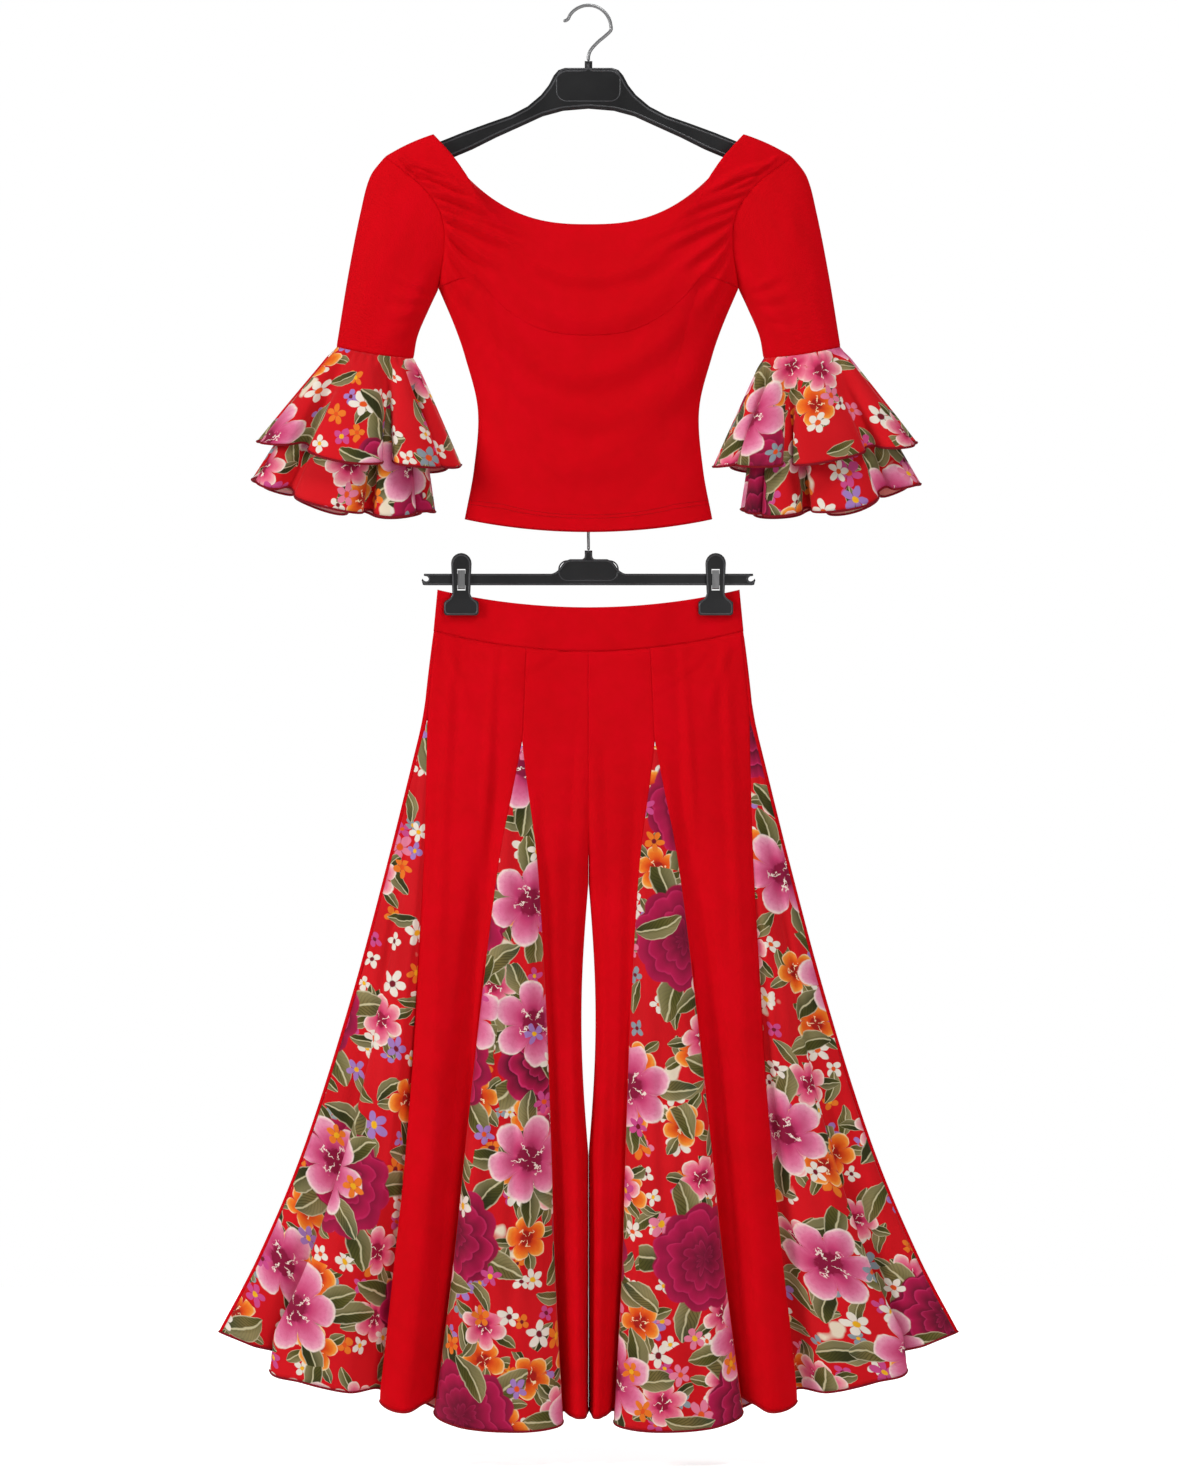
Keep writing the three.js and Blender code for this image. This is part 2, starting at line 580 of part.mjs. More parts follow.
// 1 over most of the width and rounding off to 0 over the last FOLDED millimetres before a fold
const roundEnd = (room) => Math.sqrt(Math.max(1 - (1 - clamp(room / FOLDED, 0, 1)) ** 2, 0));

// How far the trousers stand out, front or back, before the flutes open
function hipDepth(x, z) {
  const aboveSeam = clamp((z - BAND_SEAM_Z) / (BAND_TOP_Z - BAND_SEAM_Z), 0, 1);
  const half = aboveSeam > 0 ? mix(SEAM_HALF, BAND_HALF, aboveSeam) : courseX(BACK_RIBS.at(-1), z);
  const inner = courseX({ seam: "inseam" }, z);
  const parted = parting(z);
  const acrossLeg = clamp((2 * (x - inner)) / (half - inner) - 1, -1, 1);
  const bow = mix(1 - (x / half) ** 3, 1 - Math.abs(acrossLeg) ** 2.5, parted);
  const end = roundEnd(half - x) * mix(1, roundEnd(x - inner), parted);
  const grip = smoothstep(x, 70, 124) * (1 - smoothstep(-z, 725, 810));
  const spread = (through(TROUSER_DEPTH, "z", "out", z) - FOLDED) * Math.max(bow, 0);
  return FOLDED * end + spread * (1 - grip);
}

const HEM_SPAN = HEM_MEAN_Z - BAND_SEAM_Z;
const APEX = (HIP_Z - BAND_SEAM_Z) / HEM_SPAN; // share of the leg's length above a godet
const SIDE_APEX = (SIDE_APEX_Z - BAND_SEAM_Z) / HEM_SPAN;

// The point of one line of the leg at v, from the waist seam (0) to the hem (1)
function ribPoint(ribs, k, v) {
  const rib = ribs[k];
  const before = ribs[ribs.findLastIndex((r, i) => i <= k && r.seam)];
  const after = ribs[ribs.findIndex((r, i) => i >= k && r.seam)];
  const topX = mix(courseX(before, BAND_SEAM_Z), courseX(after, BAND_SEAM_Z), rib.share ?? 0);
  const sag = (bandSeamZ(topX) - BAND_SEAM_Z) * (1 - smoothstep(v, 0, SIDE_APEX));
  const opened = clamp((v - APEX) / (1 - APEX), 0, 1);
  const z = mix(BAND_SEAM_Z - SEAM / 2, HEM_MEAN_Z, v) + sag + (rib.z - HEM_MEAN_Z) * opened ** 2;
  const fluted = opened ** 1.3;
  let x = courseX(before, z);
  if (rib.share) {
    const end = courseX(after, z);
    const atHem = (rib.hem - before.hem) / (after.hem - before.hem);
    x = mix(x, end, mix(rib.share, atHem, fluted));
  }
  return new THREE.Vector3(x, mix(hipDepth(x, z), rib.out, fluted), z);
}

// Both halves of a leg as one ring of lines: the front from the side to the inseam, then the back
const RING = [
  ...FRONT_RIBS.map((_, k) => ({ ribs: FRONT_RIBS, k, facing: -1 })),
  ...BACK_RIBS.map((_, k) => ({ ribs: BACK_RIBS, k, facing: 1 })),
];
const COUNT = RING.length;
const INSEAM = FRONT_RIBS.length - 1;
const seamAt = (name) => RING.findIndex((line) => line.ribs[line.k].seam === name);
// Lines of a godet, which all run in one seam above its apex
const GODETS = [
  { from: 0, to: seamAt("side"), apex: SIDE_APEX },
  { from: seamAt("outer"), to: seamAt("inner"), apex: APEX },
  { from: seamAt("backInner"), to: seamAt("backOuter"), apex: APEX },
];

const rings = new Map();
function ringAt(v) {
  if (!rings.has(v)) {
    const points = RING.map(({ ribs, k, facing }) => {
      const point = ribPoint(ribs, k, v);
      return point.setY(point.y * facing);
    });
    rings.set(v, points);
  }
  return rings.get(v);
}

// The direction of the cloth across the leg at one line of the ring
function ringDirection(i, v) {
  const points = ringAt(v);
  const line = i % COUNT;
  const here = points[line];
  const godet = GODETS.find(({ from, to, apex }) => v <= apex && line >= from && line <= to);
  const low = points[((godet ? godet.from : i) - 1 + COUNT) % COUNT];
  const high = points[((godet ? godet.to : i) + 1) % COUNT];
  const arriving = here.clone().sub(low).normalize();
  const leaving = high.clone().sub(here).normalize();
  if (i !== INSEAM && i !== INSEAM + 1) return arriving.add(leaving).normalize();
  // above the crotch the cloth runs on across the middle, below it turns to the other face
  const parted = parting(here.z);
  const onward = i === INSEAM ? -1 : 1;
  return new THREE.Vector3(onward * (1 - parted), parted, 0).normalize();
}

// A point of a right leg at place q along the ring
function legPoint(q, v) {
  const k = clamp(Math.floor(q), 0, COUNT - 1);
  const a = ringAt(v)[k];
  const b = ringAt(v)[(k + 1) % COUNT];
  const chord = a.distanceTo(b);
  const leaving = ringDirection(k, v).multiplyScalar(chord);
  const arriving = ringDirection(k + 1, v).multiplyScalar(chord);
  const place = (axis) => hermite(a[axis], b[axis], leaving[axis], arriving[axis], q - k);
  return new THREE.Vector3(place("x"), place("y"), place("z"));
}

// Levels across a piece between two seams of the ring, evenly spaced over the cloth and half a seam
// in from each edge
function acrossPiece(from, to, cells) {
  return (v) => {
    const fine = evenly((to - from) * 8, from, to);
    const points = fine.map((q) => legPoint(q, v));
    const run = [0];
    for (let i = 1; i < points.length; i += 1) {
      run.push(run[i - 1] + points[i].distanceTo(points[i - 1]));
    }
    const margin = Math.min(SEAM / 2, run.at(-1) / 6);
    return evenly(cells, margin, run.at(-1) - margin).map((d) => {
      let i = 0;
      while (i < run.length - 2 && d > run[i + 1]) i += 1;
      return mix(fine[i], fine[i + 1], (d - run[i]) / (run[i + 1] - run[i]));
    });
  };
}

const GODET_START = 0.008; // a godet starts this much below its apex, where it has some width
const HIP_LEVELS = [0, 0.06, SIDE_APEX, SIDE_APEX + GODET_START, APEX, APEX + GODET_START];
const LEVELS = [...HIP_LEVELS, 0.215, 0.27, 0.3, 0.335, ...evenly(7, 0.4, 1)];
const LEG_PIECES = [
  { name: "godet_side", from: 0, to: seamAt("side"), cells: 9, apex: SIDE_APEX },
  { name: "front_outer", from: seamAt("side"), to: seamAt("outer"), cells: 9 },
  { name: "godet_front", from: seamAt("outer"), to: seamAt("inner"), cells: 6, apex: APEX },
  { name: "front_inner", from: seamAt("inner"), to: INSEAM, cells: 7 },
  { name: "back_inner", from: INSEAM + 1, to: seamAt("backInner"), cells: 6 },
  { name: "godet_back", from: seamAt("backInner"), to: seamAt("backOuter"), cells: 5, apex: APEX },
  { name: "back_outer", from: seamAt("backOuter"), to: COUNT, cells: 10 },
];
for (const { word, sign } of SIDES) {
  for (const { name, from, to, cells, apex = -1 } of LEG_PIECES) {
    const levels = LEVELS.filter((v) => v > apex);
    const geometry = clothWall(mirrored(legPoint, sign), acrossPiece(from, to, cells), levels);
    const material = name.startsWith("godet") ? COLOURS.print : COLOURS.red;
    addPiece(trousers, `${name}_${word}`, geometry, material);
  }
}

// Half of the waistband, front or back
function bandPoint(angle, v) {
  const half = mix(SEAM_HALF, BAND_HALF, v);
  const x = half * Math.cos(angle);
  const z = mix(bandSeamZ(Math.abs(x)) + SEAM / 2, bandTopZ(Math.abs(x)), v);
  return new THREE.Vector3(x, -Math.sign(Math.sin(angle)) * hipDepth(Math.abs(x), z), z);
}
const CLEAR = Math.acos(1 - (SEAM / 2 / SEAM_HALF) ** 2); // an angle that leaves room for the side seam
const BAND_LEVELS = [0, 0.5, 1];
const frontBand = clothWall(bandPoint, evenly(20, CLEAR, Math.PI - CLEAR), BAND_LEVELS);
const backBand = clothWall(bandPoint, evenly(16, Math.PI + CLEAR, 2 * Math.PI - CLEAR), BAND_LEVELS);
addPiece(trousers, "waistband_front", frontBand, COLOURS.red);
addPiece(trousers, "waistband_back", backBand, COLOURS.red);

// A steel hook of round wire, with `straight` more of it below the bend: out of the collar, round to
// the side and over in an arc that ends in a turned-up tip
function hookWire(wire, straight = 0) {
  const radius = HOOK_INNER + wire / 2;
  const onArc = (degrees) => ({
    x: radius * Math.cos(degToRad(degrees)),
    z: radius * Math.sin(degToRad(degrees)) - HOOK_INNER,
  });
  const rows = [
    { x: 0, z: SEAM - HOOK_HEIGHT - straight },
    ...HOOK_BEND.map(({ x, up }) => ({ x, z: up - HOOK_HEIGHT })),
    ...evenly(12, HOOK_ARC.from, HOOK_ARC.to).map(onArc),
    { x: -radius * HOOK_TIP.out, z: radius * HOOK_TIP.up - HOOK_INNER },
  ];
  const points = rows.map(({ x, z }) => new THREE.Vector3(x, 0, z));
  const path = new THREE.CatmullRomCurve3(points, false, "centripetal");
  const round = new THREE.EllipseCurve(0, 0, wire / 2, wire / 2).getPoints(9).slice(0, -1);
  return new THREE.ExtrudeGeometry(new THREE.Shape(round), { steps: 34, extrudePath: path });
}

// A plate cut to an outline in the front view and extruded from front to back
function plate(outline, thick, bevel, holes = []) {
  const shape = new THREE.Shape(outline.map(([x, z]) => new THREE.Vector2(x, z)));
  shape.holes = holes.map((hole) => new THREE.Path(hole.map(([x, z]) => new THREE.Vector2(x, z))));
  const geometry = new THREE.ExtrudeGeometry(shape, {
    depth: thick - 2 * bevel,
    bevelEnabled: bevel > 0,
    bevelThickness: bevel,
    bevelSize: bevel,
    bevelOffset: -bevel,
    bevelSegments: 1,
  });
  return geometry.translate(0, 0, bevel - thick / 2).rotateX(Math.PI / 2);
}

// A whole outline from its right half, whose points at x = 0 aren't repeated
const bothSides = (half) => {
  const others = half.filter(([x]) => x > STEP).reverse();
  return [...half, ...others.map(([x, z]) => [-x, z])];
};

// The top hanger: a plate from the middle out along the arms, then back along the underside
const ARM_TOP = [
  { x: 28, z: -72 },
  { x: 35.5, z: -74.6 },
  { x: 41, z: -81 },
  { x: 47, z: -92.5 },
  { x: 56, z: -104 },
  { x: 72, z: -117.5 },
  { x: 92, z: -128 },
  { x: 118, z: -137 },
  { x: 148, z: -148 },
  { x: 176, z: -159.3 },
  { x: 198, z: -161.5 },
  { x: 214, z: -167 },
  { x: 226, z: -172.6 },
];
const ARM_UNDER = [
  { x: 226, z: -184 },
  { x: 205, z: -187 },
  { x: 163, z: -179 },
  { x: 137, z: -168 },
  { x: 109, z: -154 },
  { x: 78, z: -140 },
  { x: 54, z: -129 },
  { x: 30, z: -122.5 },
  { x: 0, z: -120 },
];
const COLLAR = [
  { x: COLLAR_HALF, z: -HOOK_HEIGHT },
  { x: COLLAR_HALF, z: ARM_TOP[0].z },
];
const armOutline = [...COLLAR, ...ARM_TOP, ...ARM_UNDER].map(({ x, z }) => [x, z]);
addPiece(outfit, "top_hanger", plate(bothSides(armOutline), ARM_THICK, ARM_BEVEL), COLOURS.plastic);
addPiece(outfit, "top_hanger_hook", hookWire(WIRE_TOP), COLOURS.steel);

// The trouser hanger: a slim bar with a raised plate in the middle and a hooked notch at each end
const BAR_TOP = BAR_Z + BAR_HALF_HEIGHT;
const BAR_UNDER = BAR_Z - BAR_HALF_HEIGHT;
const PLATE_TOP = -651;
const LOW_COLLAR = -640.7;
const NOTCH = { x: 191.5, z: BAR_Z + 0.4, radius: 3.8 };
const barHalf = [
  [COLLAR_HALF, LOW_COLLAR],
  [COLLAR_HALF, PLATE_TOP],
  [22, PLATE_TOP],
  [27.5, PLATE_TOP - 2.2],
  [31.5, PLATE_TOP - 7],
  [35.5, PLATE_TOP - 13],
  [42, BAR_TOP],
  [BAR_HALF_LENGTH - 3, BAR_TOP],
  [BAR_HALF_LENGTH - 2.5, BAR_TOP - 2],
  [NOTCH.x + 2, NOTCH.z + NOTCH.radius - 0.2],
  ...evenly(7, 75, 335).map((d) => [
    NOTCH.x + NOTCH.radius * Math.cos(degToRad(d)),
    NOTCH.z + NOTCH.radius * Math.sin(degToRad(d)),
  ]),
  [BAR_HALF_LENGTH - 1, BAR_Z + 1],
  [BAR_HALF_LENGTH, BAR_Z - 1],
  [BAR_HALF_LENGTH - 1.5, BAR_UNDER + 0.5],
  [BAR_HALF_LENGTH - 4, BAR_UNDER],
  [0, BAR_UNDER],
];
addPiece(trousers, "trouser_hanger", plate(bothSides(barHalf), BAR_THICK, 0), COLOURS.plastic);
const lowHook = hookWire(WIRE_LOW, LOW_STEM).translate(0, 0, LOW_COLLAR + HOOK_HEIGHT + LOW_STEM);
addPiece(trousers, "trouser_hanger_hook", lowHook, COLOURS.steel);

// One half of a clip: a lever with a round top, a window for the spring and a wide foot
const LEVER = {
  thick: 3.2,
  inside: BAR_THICK / 2 + 0.6,
  half: 10.5,
  topRadius: 12,
  neck: -692,
  footHalf: 20.5,
  footTop: -700,
  corner: 2.5,
};
const WINDOW = { half: 4.9, top: -662.5, low: -688 };
const PAD = { half: 19.5, top: -701, low: -716.5 };
const leverHalf = [
  ...evenly(5, 90, 0).map((d) => [
    LEVER.topRadius * Math.cos(degToRad(d)),
    CLIP_TOP_Z - LEVER.topRadius * (1 - Math.sin(degToRad(d))),
  ]),
  [LEVER.half, LEVER.neck],
  [LEVER.half + LEVER.corner, LEVER.footTop + LEVER.corner],
  [LEVER.footHalf - LEVER.corner, LEVER.footTop],
  [LEVER.footHalf, LEVER.footTop - LEVER.corner],
  [LEVER.footHalf, CLIP_FOOT_Z + LEVER.corner],
  [LEVER.footHalf - LEVER.corner, CLIP_FOOT_Z],
];
const leverOutline = bothSides(leverHalf);
const box = (half, top, low) => [[-half, low], [half, low], [half, top], [-half, top]];
const SPRING = { wide: 8.6, thick: 0.9, out: LEVER.inside + 1.4, top: -664, bottom: -685.5, bend: 2.5 };

function springStrip() {
  const { out, thick, top, bottom, bend } = SPRING;
  const run = (reach, low) => [
    [reach, top],
    [reach, low + bend],
    [reach - bend * 0.3, low + bend * 0.3],
    [reach - bend, low],
  ];
  const outer = run(out + thick / 2, bottom - thick);
  const inner = run(out - thick / 2, bottom).reverse();
  const profile = [...outer, ...mirrorRun(outer), ...mirrorRun(inner), ...inner];
  const shape = new THREE.Shape(profile.map(([y, z]) => new THREE.Vector2(y, z)));
  const strip = new THREE.ExtrudeGeometry(shape, { depth: SPRING.wide, bevelEnabled: false });
  return strip.translate(0, 0, -SPRING.wide / 2).applyMatrix4(
    new THREE.Matrix4().set(0, 0, 1, 0, 1, 0, 0, 0, 0, 1, 0, 0, 0, 0, 0, 1),
  );
}
const mirrorRun = (run) => [...run].reverse().map(([y, z]) => [-y, z]);

for (const { word, sign } of SIDES) {
  const clip = new THREE.Group();
  clip.position.x = sign * CLIP_X;
  trousers.add(clip);
  for (const [face, facing] of [["front", -1], ["back", 1]]) {
    const lever = plate(leverOutline, LEVER.thick, 0, [box(WINDOW.half, WINDOW.top, WINDOW.low)]);
    lever.translate(0, facing * (LEVER.inside + LEVER.thick / 2), 0);
    addPiece(clip, `clip_lever_${face}_${word}`, lever, COLOURS.plastic);
    const padInside = FOLDED + CLOTH / 2 + SEAM;
    const padThick = LEVER.inside - SEAM - padInside;
    const pad = plate(box(PAD.half, PAD.top, PAD.low), padThick, 0);
    pad.translate(0, facing * (padInside + padThick / 2), 0);
    addPiece(clip, `clip_pad_${face}_${word}`, pad, COLOURS.rubber);
  }
  addPiece(clip, `clip_spring_${word}`, springStrip(), COLOURS.steel);
}

export default outfit;
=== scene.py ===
"""Looks of a two-piece flamenco outfit on its hangers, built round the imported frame.

Surfaces are worked out in millimetres from the same sizes as the solids, and written in metres.
-Y is the front, and left and right are the viewer's.
"""

import math

import bpy
import numpy as np
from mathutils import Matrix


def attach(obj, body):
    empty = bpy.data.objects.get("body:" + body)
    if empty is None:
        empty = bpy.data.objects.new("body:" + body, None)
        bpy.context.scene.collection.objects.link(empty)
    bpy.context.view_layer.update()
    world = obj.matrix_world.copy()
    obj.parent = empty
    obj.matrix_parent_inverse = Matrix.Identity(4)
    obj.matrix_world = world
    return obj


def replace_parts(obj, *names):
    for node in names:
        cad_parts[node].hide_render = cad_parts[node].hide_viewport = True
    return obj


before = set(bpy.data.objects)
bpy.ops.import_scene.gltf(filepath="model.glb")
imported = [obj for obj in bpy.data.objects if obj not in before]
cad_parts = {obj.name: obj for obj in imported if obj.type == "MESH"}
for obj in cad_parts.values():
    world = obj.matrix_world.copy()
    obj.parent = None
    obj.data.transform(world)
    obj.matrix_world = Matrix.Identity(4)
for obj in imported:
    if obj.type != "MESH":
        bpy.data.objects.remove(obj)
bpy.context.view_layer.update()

MM = 0.001
TAU = 2 * math.pi

# ---------------------------------------------------------------- sizes

CLOTH = 1.1  # shown thickness of the cloth
HEM_ROLL = 1.5  # radius of a rolled, overlocked hem
HEM_Z, HEM_SAG = -604.5, 14.5
UNDERARM = (177, -331.6)
SHOULDER_TIP = (240, -177)
NECK_POINT = (183.5, -151.5)
NECK_DROP, BACK_NECK_DROP, NECK_POWER = 107, 114, 2.6
SHOULDER_RISE, SHOULDER_RADIUS = 2, 8
SIDE_SHARE = 0.6
SHOULDER_SHARE = (1 - math.cos(math.pi / 4)) / 2
ARMHOLE_DEPTH = 20
CUFF_SAG = 3
TROUSERS_Y = 23
BAND_TOP_Z, BAND_TOP_SAG = -687, 21
BAND_SEAM_Z, BAND_SEAM_SAG = -736, 24
BAND_HALF, SEAM_HALF = 178.8, 183.5
HIP_Z, SIDE_APEX_Z, HEM_MEAN_Z = -865, -835, -1600
PARTING_TOP, PARTING_LOW = -965, -1045
FOLDED, TOUCHING = 1.7, 0.62
GAP_TOP_Z, GAP_BOTTOM_Z, GAP_HALF = -1035, -1355, 8.2
WAVES = 9
CREST, STEEP = 1.15, 0.52  # how broad a flounce's crests are, and how steep their sides


def table(columns, *rows):
    """A table of named columns."""
    return {name: np.array([row[i] for row in rows], float) for i, name in enumerate(columns.split())}


SIDE_SEAM = table(
    "z half", (HEM_Z, 146), (-545, 135), (-475, 130.5), (-411, 146), (-375, 158.5), (UNDERARM[1], UNDERARM[0])
)
ARMHOLE = table(
    "s x z",
    (0, *SHOULDER_TIP), (0.3, 196.5, -212.4), (0.52, 174, -244.3), (0.72, 169.5, -280.8), (1, *UNDERARM),
)
FRONT_DEPTH = table("v out", (0, 22), (0.35, 26), (0.7, 34), (0.9, 27), (1, 21))
BACK_DEPTH = table("v out", (0, 20), (0.35, 21), (0.7, 23), (0.9, 20), (1, 18))
SLEEVE_OUTER = table(
    "v x z", (0, *SHOULDER_TIP), (0.12, 257, -200), (0.3, 268, -240), (0.65, 283, -316), (1, 297, -402)
)
SLEEVE_INNER = table("v x z", (0, 177, -331.6), (0.35, 189, -357), (0.7, 202, -388), (1, 207, -415))
SLEEVE_DEPTH = table("v out", (0, ARMHOLE_DEPTH), (0.5, 25), (1, 23))
TROUSER_DEPTH = table(
    "z out", (-1680, 30), (-1172, 26), (-985, 21), (HIP_Z, 16), (BAND_SEAM_Z, 10), (BAND_TOP_Z, 8)
)

# Creases of the front, from the seam that holds them: start, bend, end (x, z), width and height.
# The same ones lie on both sides, a little differently.
GATHERS = table(
    "x0 z0 x1 z1 x2 z2 wide high",
    (-222, -176, -205, -190, -186, -203, 3.2, 1.6),
    (-213, -186, -176, -197, -148, -214, 3.6, 2.4),
    (-204, -195, -160, -212, -112, -236, 3.6, 3.0),
    (-196, -206, -150, -226, -100, -248, 3.8, 2.6),
    (-187, -219, -142, -234, -84, -262, 4.2, 3.2),
    (-181, -231, -130, -249, -62, -276, 4.6, 2.4),
    (-176, -244, -132, -262, -70, -292, 4.6, 3.0),
    (-172, -258, -138, -286, -92, -316, 5.0, 2.8),
    (-170, -272, -146, -306, -110, -340, 5.2, 2.6),
    (-170, -288, -152, -330, -124, -368, 5.6, 1.8),
    (-172, -305, -160, -350, -136, -396, 6.4, 1.3),
)
LEFT_DEEPER = 1.5  # the gathers on the viewer's left stand out more
# Slack that hangs in wide curves: start, lowest point and end, width and height
DRAPES = table(
    "x0 z0 x1 z1 x2 z2 wide high",
    (-120, -262, 0, -322, 122, -264, 9, 1.9),
    (-132, -290, 4, -372, 130, -292, 13, 2.1),
    (-140, -322, -6, -436, 138, -330, 13, 2.3),
    (-146, -372, 2, -486, 140, -388, 15, 1.8),
    (-132, -440, -20, -548, 96, -500, 16, 2.0),
    (134, -430, 30, -520, -60, -545, 17, 2.2),
    (-134, -500, -40, -575, 60, -560, 15, 0.9),
)
SLEEVE_CREASES = table(
    "x0 z0 x1 z1 x2 z2 wide high",
    (180, -334, 205, -330, 232, -312, 5, 2.2),
    (182, -343, 212, -345, 246, -334, 5.5, 2.0),
    (188, -356, 216, -364, 250, -362, 6, 1.6),
    (196, -372, 224, -384, 262, -386, 7, 1.2),
    (232, -196, 240, -240, 238, -300, 9, 1.2),
    (262, -236, 270, -300, 272, -372, 9, 0.9),
)

# Cut length at the sides and in front, lean outward (left and right), inward and forward, inset, and
# wave height
TIERS = {
    "upper": dict(sides=133, front=131, left=0.6, right=0.57, inward=0.37, forward=0.24, inset=0, wave=14),
    "lower": dict(sides=177, front=188, left=0.51, right=0.48, inward=0.12, forward=0.13, inset=2.4, wave=11),
}

COURSES = table(
    "z fold rear side outer inner backOuter backInner",
    (-1480, 392.5, 388.5, 226, 159, 40, 168, 56),
    (-1345, 336, 332, 214.5, 145, 44, 148, 52),
    (-1172, 281, 277.5, 204, 126, 50.5, 124, 52),
    (-1006, 236.5, 233, 194.7, 105, 61, 103, 60),
    (HIP_Z, 202, 197.5, 191, 78.5, 78.5, 78.5, 78.5),
    (SIDE_APEX_Z, 195.3, 190.2, 190.2, 76.6, 76.6, 76.6, 76.6),
    (BAND_SEAM_Z, SEAM_HALF, 181.5, 181.5, 72.6, 72.6, 72.6, 72.6),
)
# Lines down one leg: (seam or share of the way between seams, place, depth and height at the hem)
FRONT_RIBS = [
    ("rear", 434, 4, -1566),
    (0.25, 399, 11, -1580),
    (0.45, 362, 4, -1597),
    (0.55, 376, 19, -1610),
    (0.7, 340, 35, -1621),
    (0.86, 284, 38, -1633),
    ("side", 240, 10, -1635),
    (0.1, 245, 30, -1645),
    (0.35, 216, 54, -1655),
    (0.7, 194, 36, -1646),
    (0.9, 172, 9, -1643),
    ("outer", 182, 30, -1658),
    (0.2, 154, 52, -1671),
    (0.5, 98.5, 60, -1677),
    (0.8, 48, 50, -1675),
    ("inner", 30, 28, -1669),
    (0.15, 36, 9, -1658),
    (0.4, 19, 33, -1661),
    (0.7, 10, 43, -1663),
    (0.94, 3.4, 22, -1660),
    ("inseam", TOUCHING, 0, -1656),
]
BACK_RIBS = [
    ("inseam", TOUCHING, 0, -1656),
    (0.06, 3.4, 20, -1660),
    (0.3, 16, 38, -1662),
    (0.65, 42, 40, -1663),
    (0.88, 60, 13, -1657),
    ("backInner", 64, 27, -1663),
    (0.2, 92, 47, -1669),
    (0.5, 134, 53, -1669),
    (0.8, 172, 40, -1662),
    ("backOuter", 194, 16, -1651),
    (0.1, 204, 35, -1646),
    (0.25, 238, 45, -1637),
    (0.45, 278, 17, -1622),
    (0.65, 322, 37, -1606),
    (0.82, 372, 34, -1590),
    (0.95, 415, 16, -1573),
    ("fold", 437, 0, -1565),
]

# ---------------------------------------------------------------- curves and surfaces


def mix(a, b, t):
    """The value a share t of the way from a to b."""
    return a + (b - a) * t


def smoothstep(x, low, high):
    t = np.clip((x - low) / (high - low), 0, 1)
    return t * t * (3 - 2 * t)


def bump(x, centre, wide):
    """A round hill of height 1 at a place, this wide."""
    return np.exp(-(((x - centre) / wide) ** 2))


def hermite(a, b, slope_a, slope_b, t):
    """A smooth curve from a to b with given slopes at both ends."""
    t2, t3 = t * t, t * t * t
    ends = a * (2 * t3 - 3 * t2 + 1) + b * (3 * t2 - 2 * t3)
    return ends + slope_a * (t3 - 2 * t2 + t) + slope_b * (t3 - t2)


def curve(xs, ys, x):
    """The smooth curve through the points (xs, ys), at x."""
    slopes = np.empty(len(xs))
    slopes[1:-1] = (ys[2:] - ys[:-2]) / (xs[2:] - xs[:-2])
    slopes[0] = (ys[1] - ys[0]) / (xs[1] - xs[0])
    slopes[-1] = (ys[-1] - ys[-2]) / (xs[-1] - xs[-2])
    i = np.clip(np.searchsorted(xs, x, side="left") - 1, 0, len(xs) - 2)
    span = xs[i + 1] - xs[i]
    t = np.clip((x - xs[i]) / span, 0, 1)
    return hermite(ys[i], ys[i + 1], slopes[i] * span, slopes[i + 1] * span, t)


def through(rows, at, out, x):
    """A column of a table at a place in another column, joined by a smooth curve."""
    return curve(rows[at], rows[out], np.asarray(x, float))


def armhole(s):
    """The seam between bodice and sleeve, from the shoulder tip (0) to the underarm (1)."""
    s = np.clip(s, 0, 1)
    stand = 2 * ARMHOLE_DEPTH * np.sqrt(np.maximum(s * (1 - s), 0))
    return through(ARMHOLE, "s", "x", s), stand, through(ARMHOLE, "s", "z", s)


def bodice_side(v):
    """The side of a bodice panel: the side seam, and above it the armhole."""
    s = (1 + np.cos(math.pi * np.clip((v - SIDE_SHARE) / (1 - SIDE_SHARE), 0, 1))) / 2
    armhole_x, armhole_y, armhole_z = armhole(s)
    z = mix(HEM_Z, UNDERARM[1], np.clip(v / SIDE_SHARE, 0, 1))
    x = through(SIDE_SEAM, "z", "half", z)
    above = v >= SIDE_SHARE
    return np.where(above, armhole_x, x), np.where(above, armhole_y, 0), np.where(above, armhole_z, z)


def bodice_top(u, drop):
    """The top edge of a bodice panel: both shoulder seams, and the neckline between them."""
    from_edge = np.minimum(u, 1 - u) / SHOULDER_SHARE
    tip_x, _, tip_z = bodice_side(np.array(1.0))
    arch = SHOULDER_RISE * np.sin(math.pi * np.clip(from_edge, 0, 1))
    shoulder_x = np.where(u < 0.5, -1, 1) * mix(tip_x, NECK_POINT[0], from_edge)
    shoulder_z = mix(tip_z, NECK_POINT[1], from_edge) + arch
    across = (u - 0.5) / (0.5 - SHOULDER_SHARE)
    neck_z = NECK_POINT[1] - drop * (1 - np.minimum(np.abs(across), 1) ** NECK_POWER)
    on_shoulder = from_edge < 1
    x = np.where(on_shoulder, shoulder_x, across * NECK_POINT[0])
    return x, np.where(on_shoulder, shoulder_z, neck_z)


